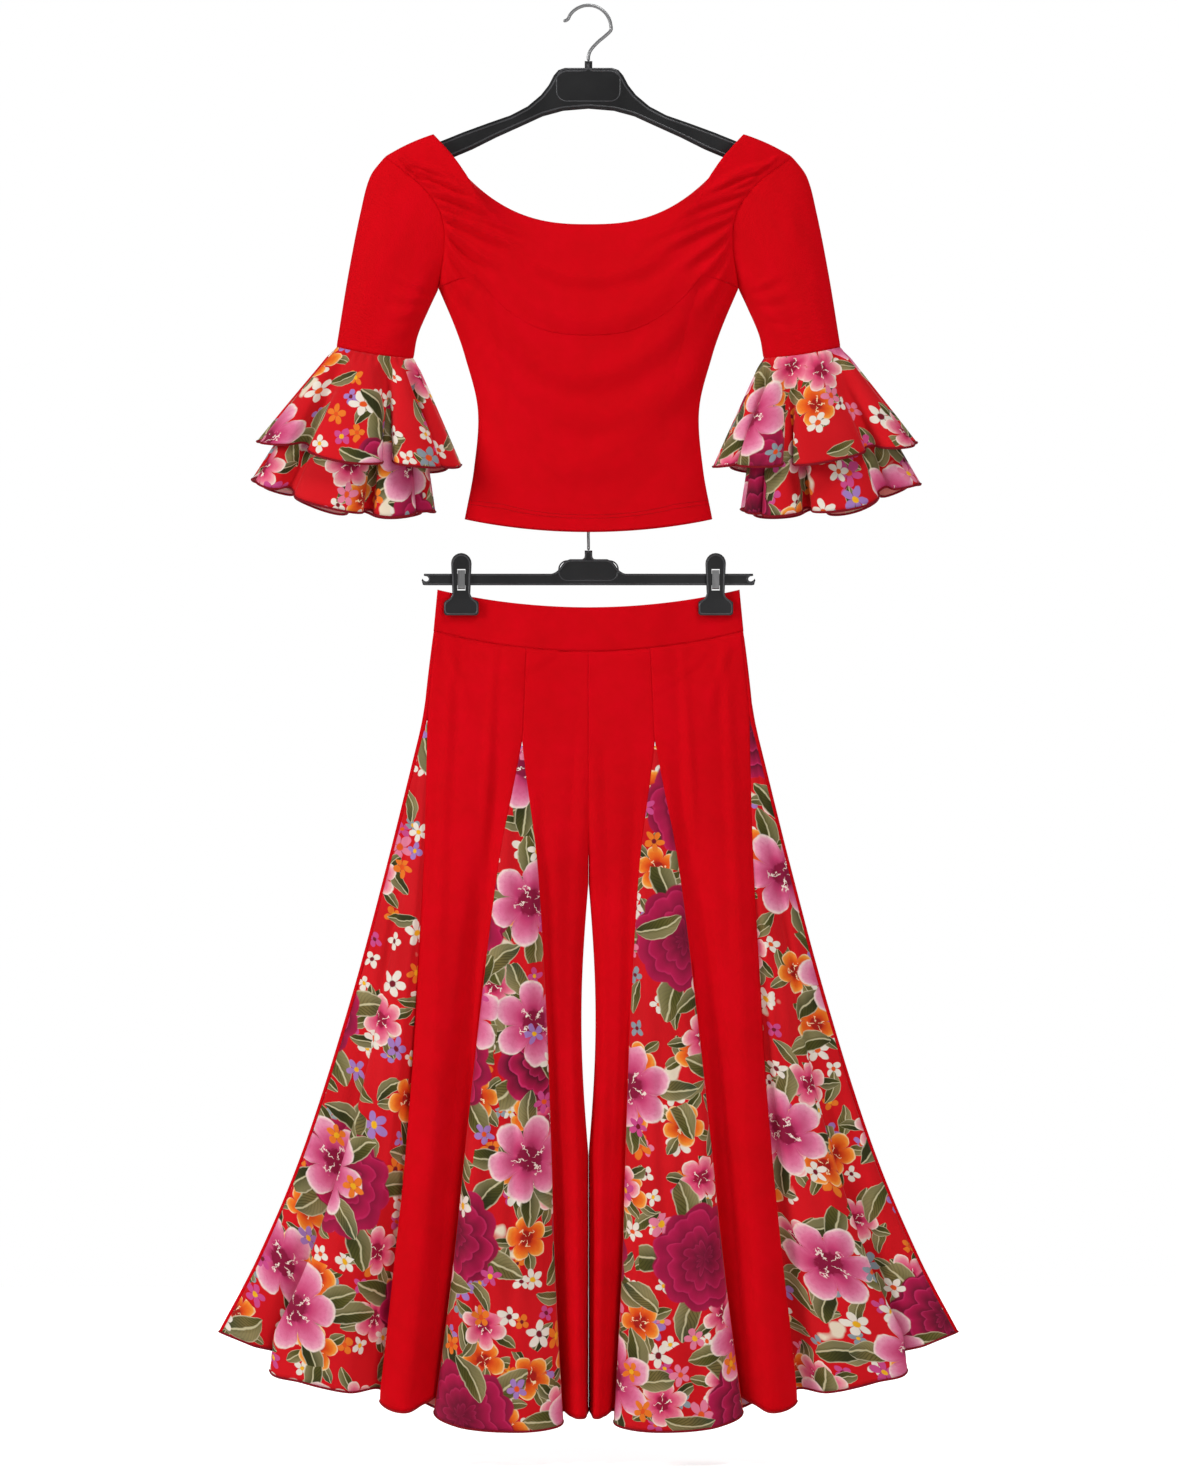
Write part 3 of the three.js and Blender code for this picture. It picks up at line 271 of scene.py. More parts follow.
def creases(x, z, rows, jitter=0.0):
    """Height at (x, z) of soft ridges along bent lines, each with a trough below it, in mm."""
    total = np.zeros_like(x)
    t = np.linspace(0, 1, 22)
    for k in range(len(rows["x0"])):
        row = {name: column[k] for name, column in rows.items()}
        shift = jitter * math.sin(7.3 * k + 2 * jitter)
        bend_x = row["x1"] * 2 - (row["x0"] + row["x2"]) / 2
        bend_z = row["z1"] * 2 - (row["z0"] + row["z2"]) / 2
        line_x = (1 - t) ** 2 * row["x0"] + 2 * t * (1 - t) * bend_x + t**2 * row["x2"]
        line_z = (1 - t) ** 2 * row["z0"] + 2 * t * (1 - t) * bend_z + t**2 * row["z2"] + shift
        far = (x[..., None] - line_x) ** 2 + (z[..., None] - line_z) ** 2
        near = far.argmin(-1)
        way_x, way_z = np.gradient(line_x), np.gradient(line_z)
        size = np.hypot(way_x, way_z)
        side = way_x[near] * (z - line_z[near]) - way_z[near] * (x - line_x[near])
        away = side / size[near] * (1 if line_x[-1] > line_x[0] else -1)
        along = ((x - line_x[near]) * way_x[near] + (z - line_z[near]) * way_z[near]) / size[near]
        step = np.hypot(line_x[-1] - line_x[0], line_z[-1] - line_z[0]) / (len(t) - 1)
        place = np.clip(near / (len(t) - 1) + along / (step * (len(t) - 1)), -0.4, 1.4)
        wide = row["wide"] * (0.75 + 0.5 * np.clip(place, 0, 1))
        fade = smoothstep(place, -0.06, 0.06) * (1 - smoothstep(place, 0.55, 1.05))
        if abs(row["x0"] + row["x2"]) < 40 or row["z0"] - row["z2"] > 200:
            fade = smoothstep(place, -0.15, 0.3) * (1 - smoothstep(place, 0.75, 1.2))
        trough = 0.55 * bump(away, -1.7 * wide, wide * 1.1)
        total = total + row["high"] * fade * (bump(away, 0, wide) - trough)
    return total


FAR_AWAY = 9e3  # an x that no crease reaches


def drapes(x, z, facing, from_edge):
    """How far gathers and slack lift the cloth of a bodice panel, in mm."""
    strength, jitter = (1.25, 1.5) if facing < 0 else (0.6, 5.0)
    held = smoothstep(from_edge, -0.01, 0.035)
    left = creases(np.where(x < 0, x, FAR_AWAY), z, GATHERS)
    right = creases(np.where(x > 0, -x, FAR_AWAY), z, GATHERS, jitter + 1)
    slack = creases(x if facing < 0 else -x, z, DRAPES, jitter)
    return strength * (LEFT_DEEPER * left + right + slack) * held


def bodice(u, v, facing):
    """The front (facing -1) or back (1) of the top, u from left to right and v from hem to top."""
    drop = NECK_DROP if facing < 0 else BACK_NECK_DROP
    depths = FRONT_DEPTH if facing < 0 else BACK_DEPTH
    side_x, side_y, side_z = bodice_side(v)
    top_x, top_z = bodice_top(u, drop)
    low_x, _, low_z = bodice_side(np.array(0.0))
    high_x, _, high_z = bodice_side(np.array(1.0))
    across = 2 * u - 1
    hem_z = HEM_Z - HEM_SAG * (1 - across**2)
    x = across * side_x + mix(across * low_x, top_x, v) - across * mix(low_x, high_x, v)
    z = mix(hem_z, top_z, (side_z - low_z) / (high_z - low_z))
    beside_sleeve = smoothstep(v, SIDE_SHARE - 0.04, SIDE_SHARE + 0.16)
    rounded = np.sqrt(np.maximum(1 - np.abs(across) ** 3.5, 0))
    gentle = np.sin(math.pi / 2 * np.maximum(1 - np.abs(across), 0)) ** 0.6
    stand = mix(side_y, through(depths, "v", "out", v), mix(rounded, gentle, beside_sleeve))
    stand = stand + drapes(x, z, facing, np.minimum(u, 1 - u))
    clear = 1 - smoothstep(np.abs(u - 0.5), 0.5 - SHOULDER_SHARE * 1.1, 0.5 - SHOULDER_SHARE * 0.99)
    below = np.clip((1 - v) * 330 / SHOULDER_RADIUS, 0, 1)
    turn = np.sqrt(1 - (1 - below) ** 2)
    stand = np.maximum(mix(stand * turn, stand, clear), 0)
    return np.stack([x, facing * stand, z], -1)


def sleeve(angle, v, crumple=True):
    """The right sleeve: angle from its upper fold round by the front, v from armhole to cuff."""
    s = (1 - np.cos(angle)) / 2
    seam_x, _, seam_z = armhole(s)

    def edge(rows, axis):
        return through(rows, "v", axis, v) - mix(rows[axis][0], rows[axis][-1], v)

    cuff_x = mix(SLEEVE_OUTER["x"][-1], SLEEVE_INNER["x"][-1], s)
    cuff_z = mix(SLEEVE_OUTER["z"][-1], SLEEVE_INNER["z"][-1], s) - CUFF_SAG * np.sin(math.pi * s)
    x = mix(seam_x, cuff_x, v) + mix(edge(SLEEVE_OUTER, "x"), edge(SLEEVE_INNER, "x"), s)
    z = mix(seam_z, cuff_z, v) + mix(edge(SLEEVE_OUTER, "z"), edge(SLEEVE_INNER, "z"), s)
    face = np.sin(angle)
    crease = 1.8 * np.sin(math.pi * v) * face**2 * np.cos(5 * angle + 3 * v)
    if crumple:
        amid = np.sin(math.pi * np.clip(v, 0, 1)) ** 0.4
        crease = crease + creases(x, z, SLEEVE_CREASES, 1.0) * amid * face**2
    stand = through(SLEEVE_DEPTH, "v", "out", v) * face
    return np.stack([x, -stand - np.sign(face) * crease, z], -1)


def flounce(angle, t, tier, word, seed):
    """A flounce whose crests are broad and whose valleys are narrow."""
    phase = WAVES * (angle + 0.22 * np.sin(2 * angle + 0.7)) + 0.6
    lapped = CREST * np.sin(phase) + STEEP * np.sin(2 * phase)
    angle = angle + lapped * smoothstep(t, 0.02, 0.75) / WAVES
    cuff = sleeve(angle, np.ones_like(angle), crumple=False)
    c, f = np.cos(angle), np.sin(angle)
    lean_x = mix(tier[word], -tier["inward"], (1 - c) / 2)
    lean_y = -tier["forward"] * f
    lean = np.stack([lean_x, lean_y, -np.sqrt(1 - lean_x**2 - lean_y**2)], -1)
    away = np.stack([c, -f * 1.35, 0 * c], -1)
    away = away / np.linalg.norm(away, axis=-1, keepdims=True)
    length = mix(tier["sides"], tier["front"], f * f)
    wave = np.cos(phase) * (1 + 0.22 * np.sin(3 * angle + 1))
    gathered = mix(2.8, tier["wave"] * mix(0.75, 1.3, f * f), t**0.9) * wave * smoothstep(t, 0, 0.12)
    pucker = 0.9 * np.sin(31 * angle + seed) * bump(t, 0.05, 0.05) * smoothstep(t, 0, 0.02)
    ripple = 1.6 * np.sin(2 * phase + seed) * t**1.2
    out = gathered + pucker + ripple - tier["inset"]
    lift = (1.5 * np.sin(5 * angle + 2.2 * seed) - 4.2 * wave) * t**1.6
    return cuff + away * out[..., None] + lean * (t * length - lift)[..., None]


def band_seam_z(x):
    """Height of the seam below the waistband."""
    return BAND_SEAM_Z - BAND_SEAM_SAG * (1 - np.clip(x / SEAM_HALF, 0, 1) ** 2)


def band_top_z(x):
    """Height of the waistband's upper edge."""
    return BAND_TOP_Z - BAND_TOP_SAG * (1 - np.clip(x / BAND_HALF, 0, 1) ** 2)


JOINED = {"rear": (SIDE_APEX_Z, "side"), "inner": (HIP_Z, "outer"), "backInner": (HIP_Z, "backOuter")}
HEM_OF = {rib[0]: rib for rib in FRONT_RIBS + BACK_RIBS if isinstance(rib[0], str)}


def parting(z):
    return smoothstep(-z, -PARTING_TOP, -PARTING_LOW)


def course(seam, z):
    """How far a seam of the leg lies from the middle at height z."""
    if seam == "inseam":
        gap = np.clip((z - GAP_BOTTOM_Z) / (GAP_TOP_Z - GAP_BOTTOM_Z), 0, 1)
        return TOUCHING * np.sin(math.pi / 2 * parting(z)) + GAP_HALF * np.sin(math.pi * gap)
    _, hem_x, _, hem_z = HEM_OF[seam]
    own = curve(np.append(hem_z, COURSES["z"]), np.append(hem_x, COURSES[seam]), z)
    if seam not in JOINED:
        return own
    above, shared = JOINED[seam]
    return np.where(z >= above, course(shared, z), own)


def round_end(room):
    return np.sqrt(np.maximum(1 - (1 - np.clip(room / FOLDED, 0, 1)) ** 2, 0))


def hip_depth(x, z):
    above = np.clip((z - BAND_SEAM_Z) / (BAND_TOP_Z - BAND_SEAM_Z), 0, 1)
    half = np.where(above > 0, mix(SEAM_HALF, BAND_HALF, above), course("fold", z))
    inner = course("inseam", z)
    parted = parting(z)
    across = np.clip(2 * (x - inner) / (half - inner) - 1, -1, 1)
    bow = mix(1 - (x / half) ** 3, 1 - np.abs(across) ** 2.5, parted)
    end = round_end(half - x) * mix(1, round_end(x - inner), parted)
    grip = smoothstep(x, 70, 124) * (1 - smoothstep(-z, 725, 810))
    spread = (through(TROUSER_DEPTH, "z", "out", z) - FOLDED) * np.maximum(bow, 0)
    return FOLDED * end + spread * (1 - grip)


HEM_SPAN = HEM_MEAN_Z - BAND_SEAM_Z
APEX = (HIP_Z - BAND_SEAM_Z) / HEM_SPAN
SIDE_APEX = (SIDE_APEX_Z - BAND_SEAM_Z) / HEM_SPAN


def rib_line(ribs, k, v):
    """One line of the leg at the levels v, from the waist seam (0) to the hem (1)."""
    place, hem_x, out, hem_z = ribs[k]
    before = next(r for r in reversed(ribs[: k + 1]) if isinstance(r[0], str))
    after = next(r for r in ribs[k:] if isinstance(r[0], str))
    share = 0 if isinstance(place, str) else place
    top = np.array(float(BAND_SEAM_Z))
    top_x = mix(course(before[0], top), course(after[0], top), share)
    sag = (band_seam_z(top_x) - BAND_SEAM_Z) * (1 - smoothstep(v, 0, SIDE_APEX))
    opened = np.clip((v - APEX) / (1 - APEX), 0, 1)
    z = mix(BAND_SEAM_Z, HEM_MEAN_Z, v) + sag + (hem_z - HEM_MEAN_Z) * opened**2
    fluted = opened**1.3
    x = course(before[0], z)
    if share:
        at_hem = (hem_x - before[1]) / (after[1] - before[1])
        x = mix(x, course(after[0], z), mix(share, at_hem, fluted))
    return np.stack([x, mix(hip_depth(x, z), out, fluted), z], -1)


RING = [(FRONT_RIBS, k, -1) for k in range(len(FRONT_RIBS))]
RING += [(BACK_RIBS, k, 1) for k in range(len(BACK_RIBS))]
COUNT = len(RING)
INSEAM = len(FRONT_RIBS) - 1
SEAM_AT = {
    ribs[k][0]: i for i, (ribs, k, _) in reversed(list(enumerate(RING))) if isinstance(ribs[k][0], str)
}
GODETS = [
    (0, SEAM_AT["side"], SIDE_APEX),
    (SEAM_AT["outer"], SEAM_AT["inner"], APEX),
    (SEAM_AT["backInner"], SEAM_AT["backOuter"], APEX),
]


def unit(vectors):
    """The same vectors with length 1."""
    return vectors / np.maximum(np.linalg.norm(vectors, axis=-1, keepdims=True), 1e-9)


def ring_lines(v):
    """All lines of a leg at the levels v, and the way the cloth runs across each."""
    lines = []
    for ribs, k, facing in RING:
        line = rib_line(ribs, k, v)
        line[:, 1] *= facing
        lines.append(line)
    lines = np.array(lines)
    ways = []
    for i in range(COUNT):
        low, high = lines[i - 1], lines[(i + 1) % COUNT]
        for first, last, apex in GODETS:
            if first <= i <= last:
                shut = (v <= apex)[:, None]
                low = np.where(shut, lines[first - 1], low)
                high = np.where(shut, lines[(last + 1) % COUNT], high)
        way = unit(unit(lines[i] - low) + unit(high - lines[i]))
        if i in (INSEAM, INSEAM + 1):
            parted = parting(lines[i][:, 2])
            onward = -1 if i == INSEAM else 1
            way = unit(np.stack([onward * (1 - parted), parted, 0 * parted], -1))
        ways.append(way)
    return lines, np.array(ways)


def leg_grid(first, last, v, columns):
    """A piece of the right leg between two lines of the ring, as rows of evenly spaced points."""
    lines, ways = ring_lines(v)
    rows = np.arange(len(v))

    def at(q):
        k = np.clip(np.floor(q).astype(int), first, last - 1)
        a, b = lines[k % COUNT, rows], lines[(k + 1) % COUNT, rows]
        chord = np.linalg.norm(b - a, axis=-1, keepdims=True)
        slope_a, slope_b = ways[k % COUNT, rows] * chord, ways[(k + 1) % COUNT, rows] * chord
        return hermite(a, b, slope_a, slope_b, (q - k)[..., None])

    fine = np.linspace(first, last, (last - first) * 16 + 1)
    points = np.array([at(np.full(len(v), q)) for q in fine])
    steps = np.linalg.norm(np.diff(points, axis=0), axis=-1)
    run = np.concatenate([np.zeros((1, len(v))), np.cumsum(steps, axis=0)])
    places = np.empty((columns, len(v)))
    for j in range(len(v)):
        places[:, j] = np.interp(np.linspace(0, run[-1, j], columns), run[:, j], fine)
    return np.array([at(q) for q in places]).transpose(1, 0, 2)


def waistband(angle, v):
    """The waistband, its angle from the right side round by the front."""
    half = mix(SEAM_HALF, BAND_HALF, v)
    x = half * np.cos(angle)
    z = mix(band_seam_z(np.abs(x)), band_top_z(np.abs(x)), v)
    return np.stack([x, -np.sign(np.sin(angle)) * hip_depth(np.abs(x), z), z], -1)


# ---------------------------------------------------------------- materials


def linear(hexa, alpha=1.0):
    """sRGB hex to a linear colour."""
    parts = [int(hexa[i : i + 2], 16) / 255 for i in (1, 3, 5)]
    return (*[c / 12.92 if c <= 0.04045 else ((c + 0.055) / 1.055) ** 2.4 for c in parts], alpha)


class Nodes:
    """Adds nodes to a tree, with settings and links in one call."""

    def __init__(self, tree):
        self.tree = tree

    def add(self, kind, inputs=(), **settings):
        node = self.tree.nodes.new(kind)
        for name, value in settings.items():
            setattr(node, name, value)
        for name, value in dict(inputs).items():
            socket = node.inputs[name]
            if isinstance(value, bpy.types.NodeSocket):
                self.tree.links.new(value, socket)
            else:
                socket.default_value = value
        return node

    def math(self, operation, *values):
        return self.add("ShaderNodeMath", enumerate(values), operation=operation).outputs[0]

    def vector(self, operation, *values):
        node = self.add("ShaderNodeVectorMath", enumerate(values), operation=operation)
        return node.outputs["Value" if operation in ("LENGTH", "DISTANCE", "DOT_PRODUCT") else "Vector"]

    def ramp(self, factor, *stops, interpolation="LINEAR"):
        node = self.add("ShaderNodeValToRGB", {"Fac": factor})
        node.color_ramp.interpolation = interpolation
        elements = node.color_ramp.elements
        while len(elements) < len(stops):
            elements.new(0.5)
        for element, (place, hexa) in zip(elements, stops):
            element.position = place
            element.color = linear(hexa)
        return node.outputs["Color"]

    def step(self, value, low, high):
        """0 below low, 1 above high."""
        node = self.add("ShaderNodeMapRange", {"Value": value, "From Min": low, "From Max": high}, clamp=True)
        return node.outputs["Result"]

    def blend(self, factor, under, over, mode="MIX"):
        node = self.add("ShaderNodeMix", data_type="RGBA", blend_type=mode)
        for socket, value in zip((node.inputs[0], node.inputs[6], node.inputs[7]), (factor, under, over)):
            if isinstance(value, bpy.types.NodeSocket):
                self.tree.links.new(value, socket)
            else:
                socket.default_value = value
        return node.outputs[2]


def new_material(name, **constants):
    material = bpy.data.materials.new(name)
    material.use_nodes = True
    material.use_backface_culling = False
    shader = material.node_tree.nodes["Principled BSDF"]
    for socket, value in constants.items():
        shader.inputs[socket.replace("_", " ")].default_value = value
    return material, Nodes(material.node_tree), shader


def cloth_uv(nodes):
    """The place on the flat cloth, in metres."""
    return nodes.add("ShaderNodeUVMap", uv_map="cloth").outputs["UV"]


def bumped(nodes, shader, height, distance, strength=1.0, before=None):
    inputs = {"Height": height, "Distance": distance, "Strength": strength}
    if before is not None:
        inputs["Normal"] = before
    node = nodes.add("ShaderNodeBump", inputs)
    nodes.tree.links.new(node.outputs["Normal"], shader.inputs["Normal"])
    return node.outputs["Normal"]


# Spacing of ribs and twists, in mm. The knit is drawn about twice as coarse as it is, so that it shows.
WALE, COURSE = TAU / 5.2, TAU / 6.6
THREAD_TWIST, PAD_RIB = TAU / 8.4, TAU / 1.8


def bands(spacing):
    """The scale of a wave texture whose bands lie this far apart, in mm."""
    return TAU / 20 / (spacing * MM)


def jersey():
    """Matt stretch jersey: fine wales, slight mottling and a soft bloom at the edges."""
    material, nodes, shader = new_material(
        "red_jersey",
        Roughness=0.85,
        Sheen_Weight=0.05,
        Sheen_Roughness=0.4,
        Sheen_Tint=linear("#ff3050"),
        Specular_IOR_Level=0.07,
    )
    uv = cloth_uv(nodes)
    mottle = nodes.add("ShaderNodeTexNoise", {"Vector": uv, "Scale": 42.0, "Detail": 4.0}).outputs["Fac"]
    cloud = nodes.add("ShaderNodeTexNoise", {"Vector": uv, "Scale": 7.0, "Detail": 2.0}).outputs["Fac"]
    tone = nodes.math("ADD", nodes.math("MULTIPLY", mottle, 0.5), nodes.math("MULTIPLY", cloud, 0.5))
    colour = nodes.ramp(tone, (0.3, "#ca000b"), (0.5, "#d2000e"), (0.72, "#da0014"))
    wales = nodes.add(
        "ShaderNodeTexWave",
        {"Vector": uv, "Scale": bands(WALE), "Distortion": 0.6, "Detail": 1.0, "Detail Scale": 3.0},
    ).outputs["Fac"]
    courses = nodes.add(
        "ShaderNodeTexWave", {"Vector": uv, "Scale": bands(COURSE), "Distortion": 0.8}, bands_direction="Y"
    ).outputs["Fac"]
    knit = nodes.math("MULTIPLY", wales, courses)
    colour = nodes.blend(nodes.math("MULTIPLY", knit, 0.16), colour, linear("#e4001c"))
    nodes.tree.links.new(colour, shader.inputs["Base Color"])
    rough = nodes.math("MULTIPLY", nodes.step(mottle, 0.1, 0.9), 0.12)
    nodes.tree.links.new(nodes.math("ADD", rough, 0.76), shader.inputs["Roughness"])
    fine = bumped(nodes, shader, knit, 0.00022, 0.7)
    bumped(nodes, shader, mottle, 0.0012, 0.25, before=fine)
    return material


def scattered(nodes, uv, seed, scale, scatter=0.7):
    """Cells round scattered centres, `scale` of them to a metre.

    Gives the place from the centre (in cells), the distance, the angle and three dice.
    """
    moved = nodes.vector("ADD", uv, (seed * 1.37, seed * 2.11, 0))
    spread = {"Vector": moved, "Scale": scale, "Randomness": scatter}
    cells = nodes.add("ShaderNodeTexVoronoi", spread, voronoi_dimensions="2D")
    away = nodes.vector("SUBTRACT", moved, cells.outputs["Position"])
    place = nodes.add("ShaderNodeSeparateXYZ", {0: away})
    dice = nodes.add("ShaderNodeSeparateColor", {"Color": cells.outputs["Color"]}).outputs
    x = nodes.math("MULTIPLY", place.outputs["X"], scale)
    y = nodes.math("MULTIPLY", place.outputs["Y"], scale)
    turn = nodes.math("MULTIPLY", dice[0], TAU)
    cos, sin = nodes.math("COSINE", turn), nodes.math("SINE", turn)
    turned_x = nodes.math("ADD", nodes.math("MULTIPLY", x, cos), nodes.math("MULTIPLY", y, sin))
    turned_y = nodes.math("SUBTRACT", nodes.math("MULTIPLY", y, cos), nodes.math("MULTIPLY", x, sin))
    radius = nodes.math("SQRT", nodes.math("ADD", nodes.math("MULTIPLY", x, x), nodes.math("MULTIPLY", y, y)))
    angle = nodes.math("ARCTAN2", turned_y, turned_x)
    return dict(x=turned_x, y=turned_y, r=radius, angle=angle, dice=dice)


def scallops(nodes, cell, petals, phase=0.0):
    """1 in the middle of a petal and 0 between two."""
    wave = nodes.math("COSINE", nodes.math("ADD", nodes.math("MULTIPLY", cell["angle"], petals / 2), phase))
    return nodes.math("ABSOLUTE", wave)


def chosen(nodes, mask, die, least):
    """The mask where the die is high enough, and nothing elsewhere."""
    return nodes.math("MULTIPLY", mask, nodes.math("GREATER_THAN", die, least))


def roses(nodes, uv, under, seed, scale, least, tones):
    """Full blooms: rings of scalloped petals, dark in their folds and light at the rims."""
    cell = scattered(nodes, uv, seed, scale, 0.62)
    under = spray(nodes, cell, under, least, 5, 0.38)
    edge = scallops(nodes, cell, 11)
    outline = nodes.math("SUBTRACT", cell["r"], nodes.math("MULTIPLY", edge, 0.035))
    mask = chosen(nodes, nodes.step(outline, 0.315, 0.305), cell["dice"][1], least)
    inner = scallops(nodes, cell, 7, 0.9)
    core = scallops(nodes, cell, 5, 2.1)
    lobes = nodes.math("ADD", nodes.math("MULTIPLY", inner, 0.03), nodes.math("MULTIPLY", core, 0.02))
    rings = nodes.math("MULTIPLY", nodes.math("SUBTRACT", outline, lobes), 10.5)
    fold = nodes.math("FRACT", nodes.math("ADD", rings, nodes.math("MULTIPLY", cell["angle"], 2 / TAU)))
    petal = nodes.ramp(fold, (0, tones[0]), (0.3, tones[1]), (0.8, tones[2]), (0.94, tones[3]), (1, tones[1]))
    light = nodes.math("MULTIPLY", nodes.step(cell["dice"][0], 0.1, 0.9), 0.5)
    petal = nodes.blend(light, petal, linear(tones[2]))
    heart = nodes.step(cell["r"], 0.22, 0.05)
    petal = nodes.blend(nodes.math("MULTIPLY", heart, 0.6), petal, linear(tones[0]))
    return nodes.blend(mask, under, petal)


def camellias(nodes, uv, under, seed, scale, least, petals, tones, size=0.32):
    """Open flowers: a few broad petals with pale rims round a dark eye with pale stamens."""
    cell = scattered(nodes, uv, seed, scale, 0.66)
    under = spray(nodes, cell, under, least, 4, 0.37)
    lobe = scallops(nodes, cell, petals)
    reach = nodes.math("MULTIPLY", nodes.math("POWER", lobe, 0.4), size * 0.6)
    reach = nodes.math("ADD", reach, size * 0.48)
    across = nodes.math("DIVIDE", cell["r"], reach)
    mask = chosen(nodes, nodes.step(across, 1.0, 0.97), cell["dice"][1], least)
    petal = nodes.ramp(across, *zip((0.2, 0.42, 0.72, 0.9, 0.97), tones))
    vein = nodes.add("ShaderNodeTexNoise", {"Vector": uv, "Scale": 220.0, "Detail": 3.0}).outputs["Fac"]
    petal = nodes.blend(nodes.math("MULTIPLY", nodes.step(vein, 0.45, 0.75), 0.3), petal, linear(tones[1]))
    between = nodes.math("MULTIPLY", nodes.step(lobe, 0.42, 0.1), 0.7)
    petal = nodes.blend(between, petal, linear(tones[1]))
    eye_edge = nodes.math("ADD", cell["r"], nodes.math("MULTIPLY", vein, 0.06))
    petal = nodes.blend(nodes.step(eye_edge, size * 0.42, size * 0.36), petal, linear(tones[0]))
    wander = nodes.math("ADD", nodes.math("MULTIPLY", cell["angle"], 4.5), nodes.math("MULTIPLY", vein, 7.0))
    streak = nodes.step(nodes.math("COSINE", wander), 0.9, 0.97)
    tips = nodes.step(cell["r"], size * 0.46, size * 0.42)
    roots = nodes.step(cell["r"], size * 0.06, size * 0.12)
    stamens = nodes.math("MULTIPLY", streak, nodes.math("MULTIPLY", tips, roots))
    petal = nodes.blend(stamens, petal, linear(tones[4]))
    return nodes.blend(mask, under, petal)


LEAF_BEND = 0.5


def leaf(nodes, x, y, die, wide, long):
    """Mask and colour of a leaf along x round the origin: pale rim, midrib and slanting veins."""
    bent = nodes.math("ADD", y, nodes.math("MULTIPLY", nodes.math("MULTIPLY", x, x), LEAF_BEND))
    along = nodes.math("DIVIDE", x, long)
    belly = nodes.math("SUBTRACT", 1, nodes.math("MULTIPLY", along, along))
    half = nodes.math("MULTIPLY", nodes.math("POWER", nodes.math("MAXIMUM", belly, 0.001), 0.8), wide)
    away = nodes.math("DIVIDE", nodes.math("ABSOLUTE", bent), half)
    mask = nodes.step(away, 1.0, 0.94)
    mask = nodes.math("MULTIPLY", mask, nodes.math("LESS_THAN", nodes.math("ABSOLUTE", along), 0.98))
    slant = nodes.math("MULTIPLY", nodes.math("SUBTRACT", nodes.math("MULTIPLY", along, 1.8), away), 3.2)
    saw = nodes.math("SUBTRACT", nodes.math("FRACT", slant), 0.5)
    veins = nodes.step(nodes.math("ABSOLUTE", saw), 0.25, 0.45)
    green = nodes.ramp(
        nodes.math("ADD", nodes.math("MULTIPLY", die, 0.7), nodes.math("MULTIPLY", along, 0.3)),
        (0, "#2f3312"), (0.35, "#55531f"), (0.6, "#77693a"), (0.9, "#3f4a30"),
    )
    colour = nodes.blend(nodes.math("MULTIPLY", veins, 0.5), green, linear("#26280c"))
    lit = nodes.math("MULTIPLY", nodes.step(bent, -0.02, 0.06), 0.4)
    colour = nodes.blend(lit, colour, linear("#b5a878"))
    rib = nodes.step(nodes.math("DIVIDE", nodes.math("ABSOLUTE", bent), wide), 0.1, 0.04)
    colour = nodes.blend(nodes.math("MULTIPLY", rib, 0.7), colour, linear("#e6dcb0"))
    rim = nodes.math("MULTIPLY", nodes.step(away, 0.84, 0.95), 0.75)
    return mask, nodes.blend(rim, colour, linear("#e3d8b4"))


def leaves(nodes, uv, under, seed, scale, least, wide=0.17, long=0.42):
    """Single leaves strewn about."""
    cell = scattered(nodes, uv, seed, scale, 0.8)
    mask, colour = leaf(nodes, cell["x"], cell["y"], cell["dice"][2], wide, long)
    return nodes.blend(chosen(nodes, mask, cell["dice"][1], least), under, colour)


def spray(nodes, cell, under, least, count, reach):
    """Leaves that stand out all round from under a bloom."""
    sector = TAU / count
    part = nodes.math("ADD", nodes.math("DIVIDE", cell["angle"], sector), 0.3)
    turn = nodes.math("MULTIPLY", nodes.math("SUBTRACT", nodes.math("FRACT", part), 0.5), sector)
    x = nodes.math("SUBTRACT", nodes.math("MULTIPLY", cell["r"], nodes.math("COSINE", turn)), reach)
    y = nodes.math("MULTIPLY", cell["r"], nodes.math("SINE", turn))
    which = nodes.math("MULTIPLY", nodes.math("FLOOR", part), 0.37)
    die = nodes.math("FRACT", nodes.math("ADD", cell["dice"][2], which))
    mask, colour = leaf(nodes, x, y, die, 0.085, 0.17)
    return nodes.blend(chosen(nodes, mask, cell["dice"][1], least), under, colour)


def blossoms(nodes, uv, under, seed, scale, least, petals, ramp):
    """Small flowers with a yellow or dark eye."""
    cell = scattered(nodes, uv, seed, scale, 0.85)
    lobe = scallops(nodes, cell, petals)
    reach = nodes.math("ADD", nodes.math("MULTIPLY", lobe, 0.2), 0.12)
    across = nodes.math("DIVIDE", cell["r"], reach)
    mask = chosen(nodes, nodes.step(across, 1.0, 0.93), cell["dice"][1], least)
    petal = nodes.ramp(cell["dice"][2], *ramp, interpolation="CONSTANT")
    petal = nodes.blend(nodes.math("MULTIPLY", nodes.step(lobe, 0.35, 0.1), 0.5), petal, linear("#7e1030"))
    eyes = ((0, "#f3b21c"), (0.45, "#7a1222"), (0.7, "#e8541a"))
    eye = nodes.ramp(cell["dice"][0], *eyes, interpolation="CONSTANT")
    petal = nodes.blend(nodes.step(cell["r"], 0.085, 0.065), petal, eye)
    return nodes.blend(mask, under, petal)


